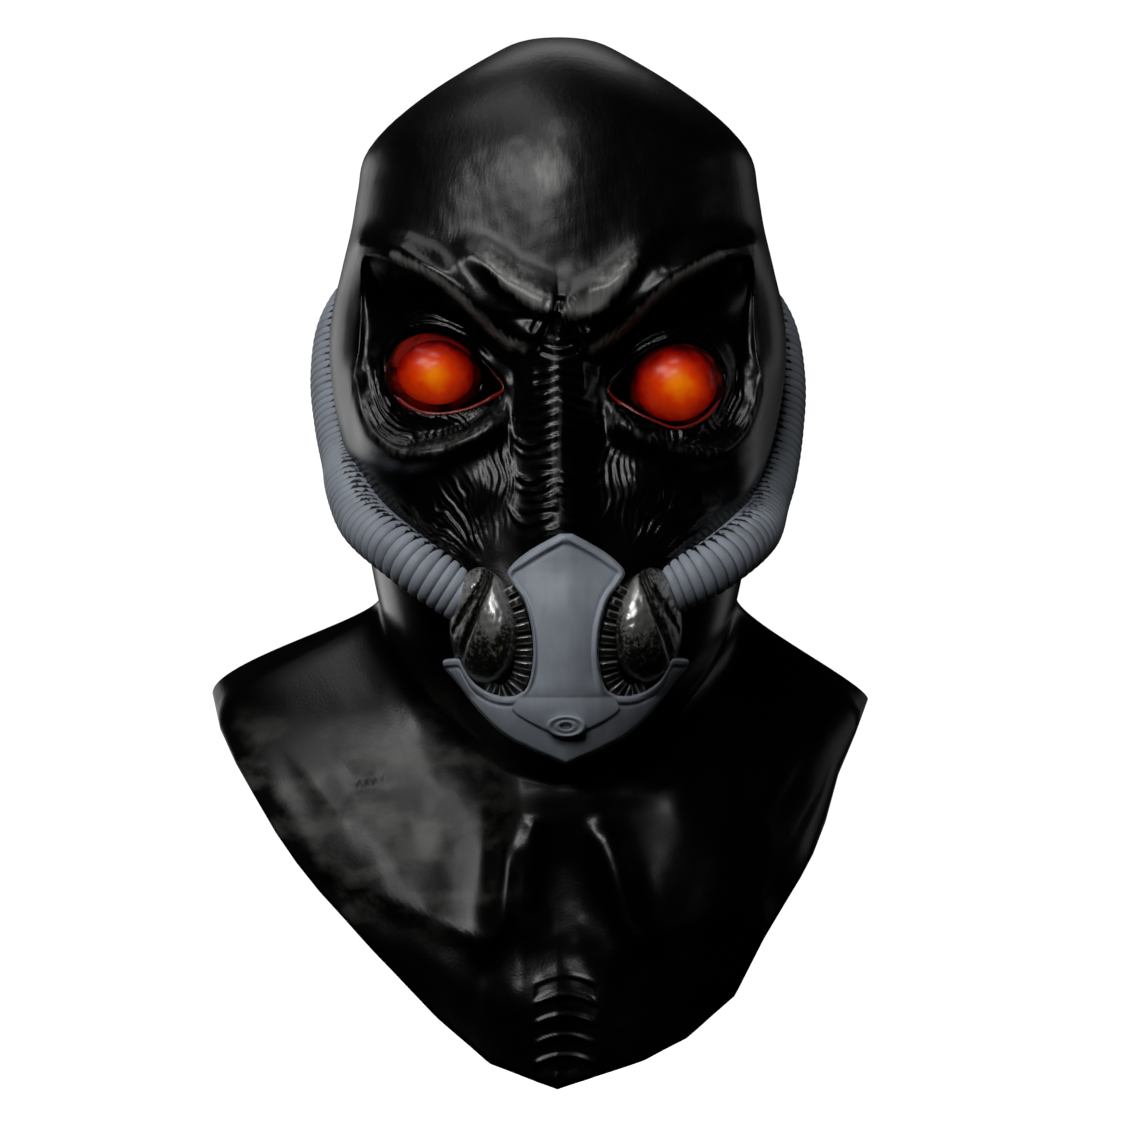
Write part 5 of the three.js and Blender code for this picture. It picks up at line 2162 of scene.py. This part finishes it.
@dataclass
class Studio:
    """The pale backdrop, the soft lights and the camera at the photograph's angle."""

    target: tuple[float, float, float] = (0.00576, 0.0, -0.2528)
    distance: float = 2.0
    view_width: float = 0.5472
    film_width: float = 36.0
    sweep_radius: float = 4.0
    sweep_bend: float = 1.2
    wall_top: float = 7.0
    floor: float = -0.62

    def build(self) -> None:
        """Makes everything round the mask."""
        self.backdrop()
        self.camera()
        self.lights()

    def camera(self) -> None:
        """Puts the camera in front of the face."""
        data = bpy.data.cameras.new("camera")
        data.sensor_width = self.film_width
        data.lens = self.film_width * self.distance / self.view_width
        data.clip_end = 50.0
        camera = bpy.data.objects.new("camera", data)
        camera.location = Vector(self.target) - Vector((0.0, self.distance, 0.0))
        camera.rotation_euler = (math.pi / 2, 0.0, 0.0)
        bpy.context.scene.collection.objects.link(camera)
        bpy.context.scene.camera = camera

    def backdrop(self) -> None:
        """A round pale sweep: a floor that turns up into a wall all the way round."""
        sides, bend, start = 96, self.sweep_bend, self.sweep_radius - self.sweep_bend
        climb = np.linspace(0.0, math.pi / 2, 13)
        curve = np.stack([start + bend * np.sin(climb), bend * (1 - np.cos(climb))], axis=-1)
        profile = np.vstack([(0.01, 0.0), curve, (self.sweep_radius, self.wall_top)])
        turn = np.linspace(0, 2 * math.pi, sides, endpoint=False)
        r, h = profile.T[:, :, None]
        points = np.stack(np.broadcast_arrays(r * np.cos(turn), r * np.sin(turn), self.floor + h), -1) / MM
        faces = grid_faces(len(profile), sides, wrap=True) + [tuple(range(sides))]
        piece = make_piece("backdrop", points, faces)
        g = Graph("backdrop_paper")
        paper = g.noise(3.0, 2.0)
        piece.data.materials.append(
            g.finish(
                Base_Color=g.mix(paper, (0.8, 0.8, 0.8), (0.84, 0.84, 0.84)),
                Roughness=0.9,
                Emission_Color=(0.95, 0.95, 0.95, 1.0),
                Emission_Strength=1.1,
                Specular_IOR_Level=0.0,
            )
        )
        piece.visible_glossy = False
        piece.visible_diffuse = False

    def light(self, name: str, place: tuple[float, float, float], power: float, size: Pair) -> None:
        """A soft rectangular light aimed at the mask.

        Args:
            name: The lamp's name.
            place: Its place from the middle of the mask.
            power: Watts.
            size: Width and height.
        """
        data = bpy.data.lights.new(name, "AREA")
        data.shape, data.size, data.size_y = "RECTANGLE", *size
        data.energy = power
        lamp = bpy.data.objects.new(name, data)
        lamp.location = Vector(self.target) + Vector(place)
        lamp.rotation_euler = (-Vector(place)).to_track_quat("-Z", "Y").to_euler()
        bpy.context.scene.collection.objects.link(lamp)

    def lights(self) -> None:
        """A high key on the photograph's left, soft lights from in front and above, and dim rims."""
        world = bpy.data.worlds.new("room")
        world.use_nodes = True
        world.node_tree.nodes["Background"].inputs["Strength"].default_value = 0.0
        bpy.context.scene.world = world
        for lamp in LAMPS:
            self.light(*lamp)
        bpy.context.scene.view_settings.view_transform = "Standard"


# Openings of the lids round the middle of each eye: across, up.
RIGHT_OPENING = (
    (-22, 5.5), (-18.5, 15), (-9, 21.5), (2, 21.5), (14, 16), (24, 5.5), (33, -6), (26, -11.5), (18, -15.5),
    (7, -18), (-6, -17), (-17, -9),
)
LEFT_OPENING = (
    (21.5, 7), (17, 16), (9, 20.5), (0, 21.5), (-11.5, 18), (-20, 12), (-26.5, 5), (-32, -3), (-23, -10.5),
    (-13, -16), (0, -20), (13, -14.5), (20, -4),
)


def main() -> None:
    """Builds the mask piece by piece."""
    logging.basicConfig(level=logging.INFO, format="%(name)s %(message)s")
    Studio().build()
    form = MaskForm()
    eyes = (
        Eye(Side.RIGHT, -57.3, -163.5, RIGHT_OPENING, (0.9, 0.6), 38.0, 33.0),
        Eye(Side.LEFT, 55.0, -168.5, LEFT_OPENING, (-0.5, 0.9), 39.5, 36.5),
    )
    skin = MaskSkin(form, eyes).build(BlackLatex().build())
    paints = GlowingEye().build(), RedBed().build(), RedRim().build()
    for eye in eyes:
        eye.build(form, skin, *paints)
    grey, silver, hose_paint = GreyPaint().build(), DryBrushedSilver().build(), HosePaint().build()
    respirator = Respirator(form)
    respirator.plate(grey)
    respirator.valve(grey)
    respirator.guard(grey)
    pod_drop = respirator.top + respirator.pod_down * respirator.tall
    for side, route in ((Side.RIGHT, RIGHT_HOSE), (Side.LEFT, LEFT_HOSE)):
        respirator.pod(side, silver)
        respirator.comb(side, silver)
        Hose(form, side, route, pod_drop).build(hose_paint)


if __name__ == "__main__":
    main()
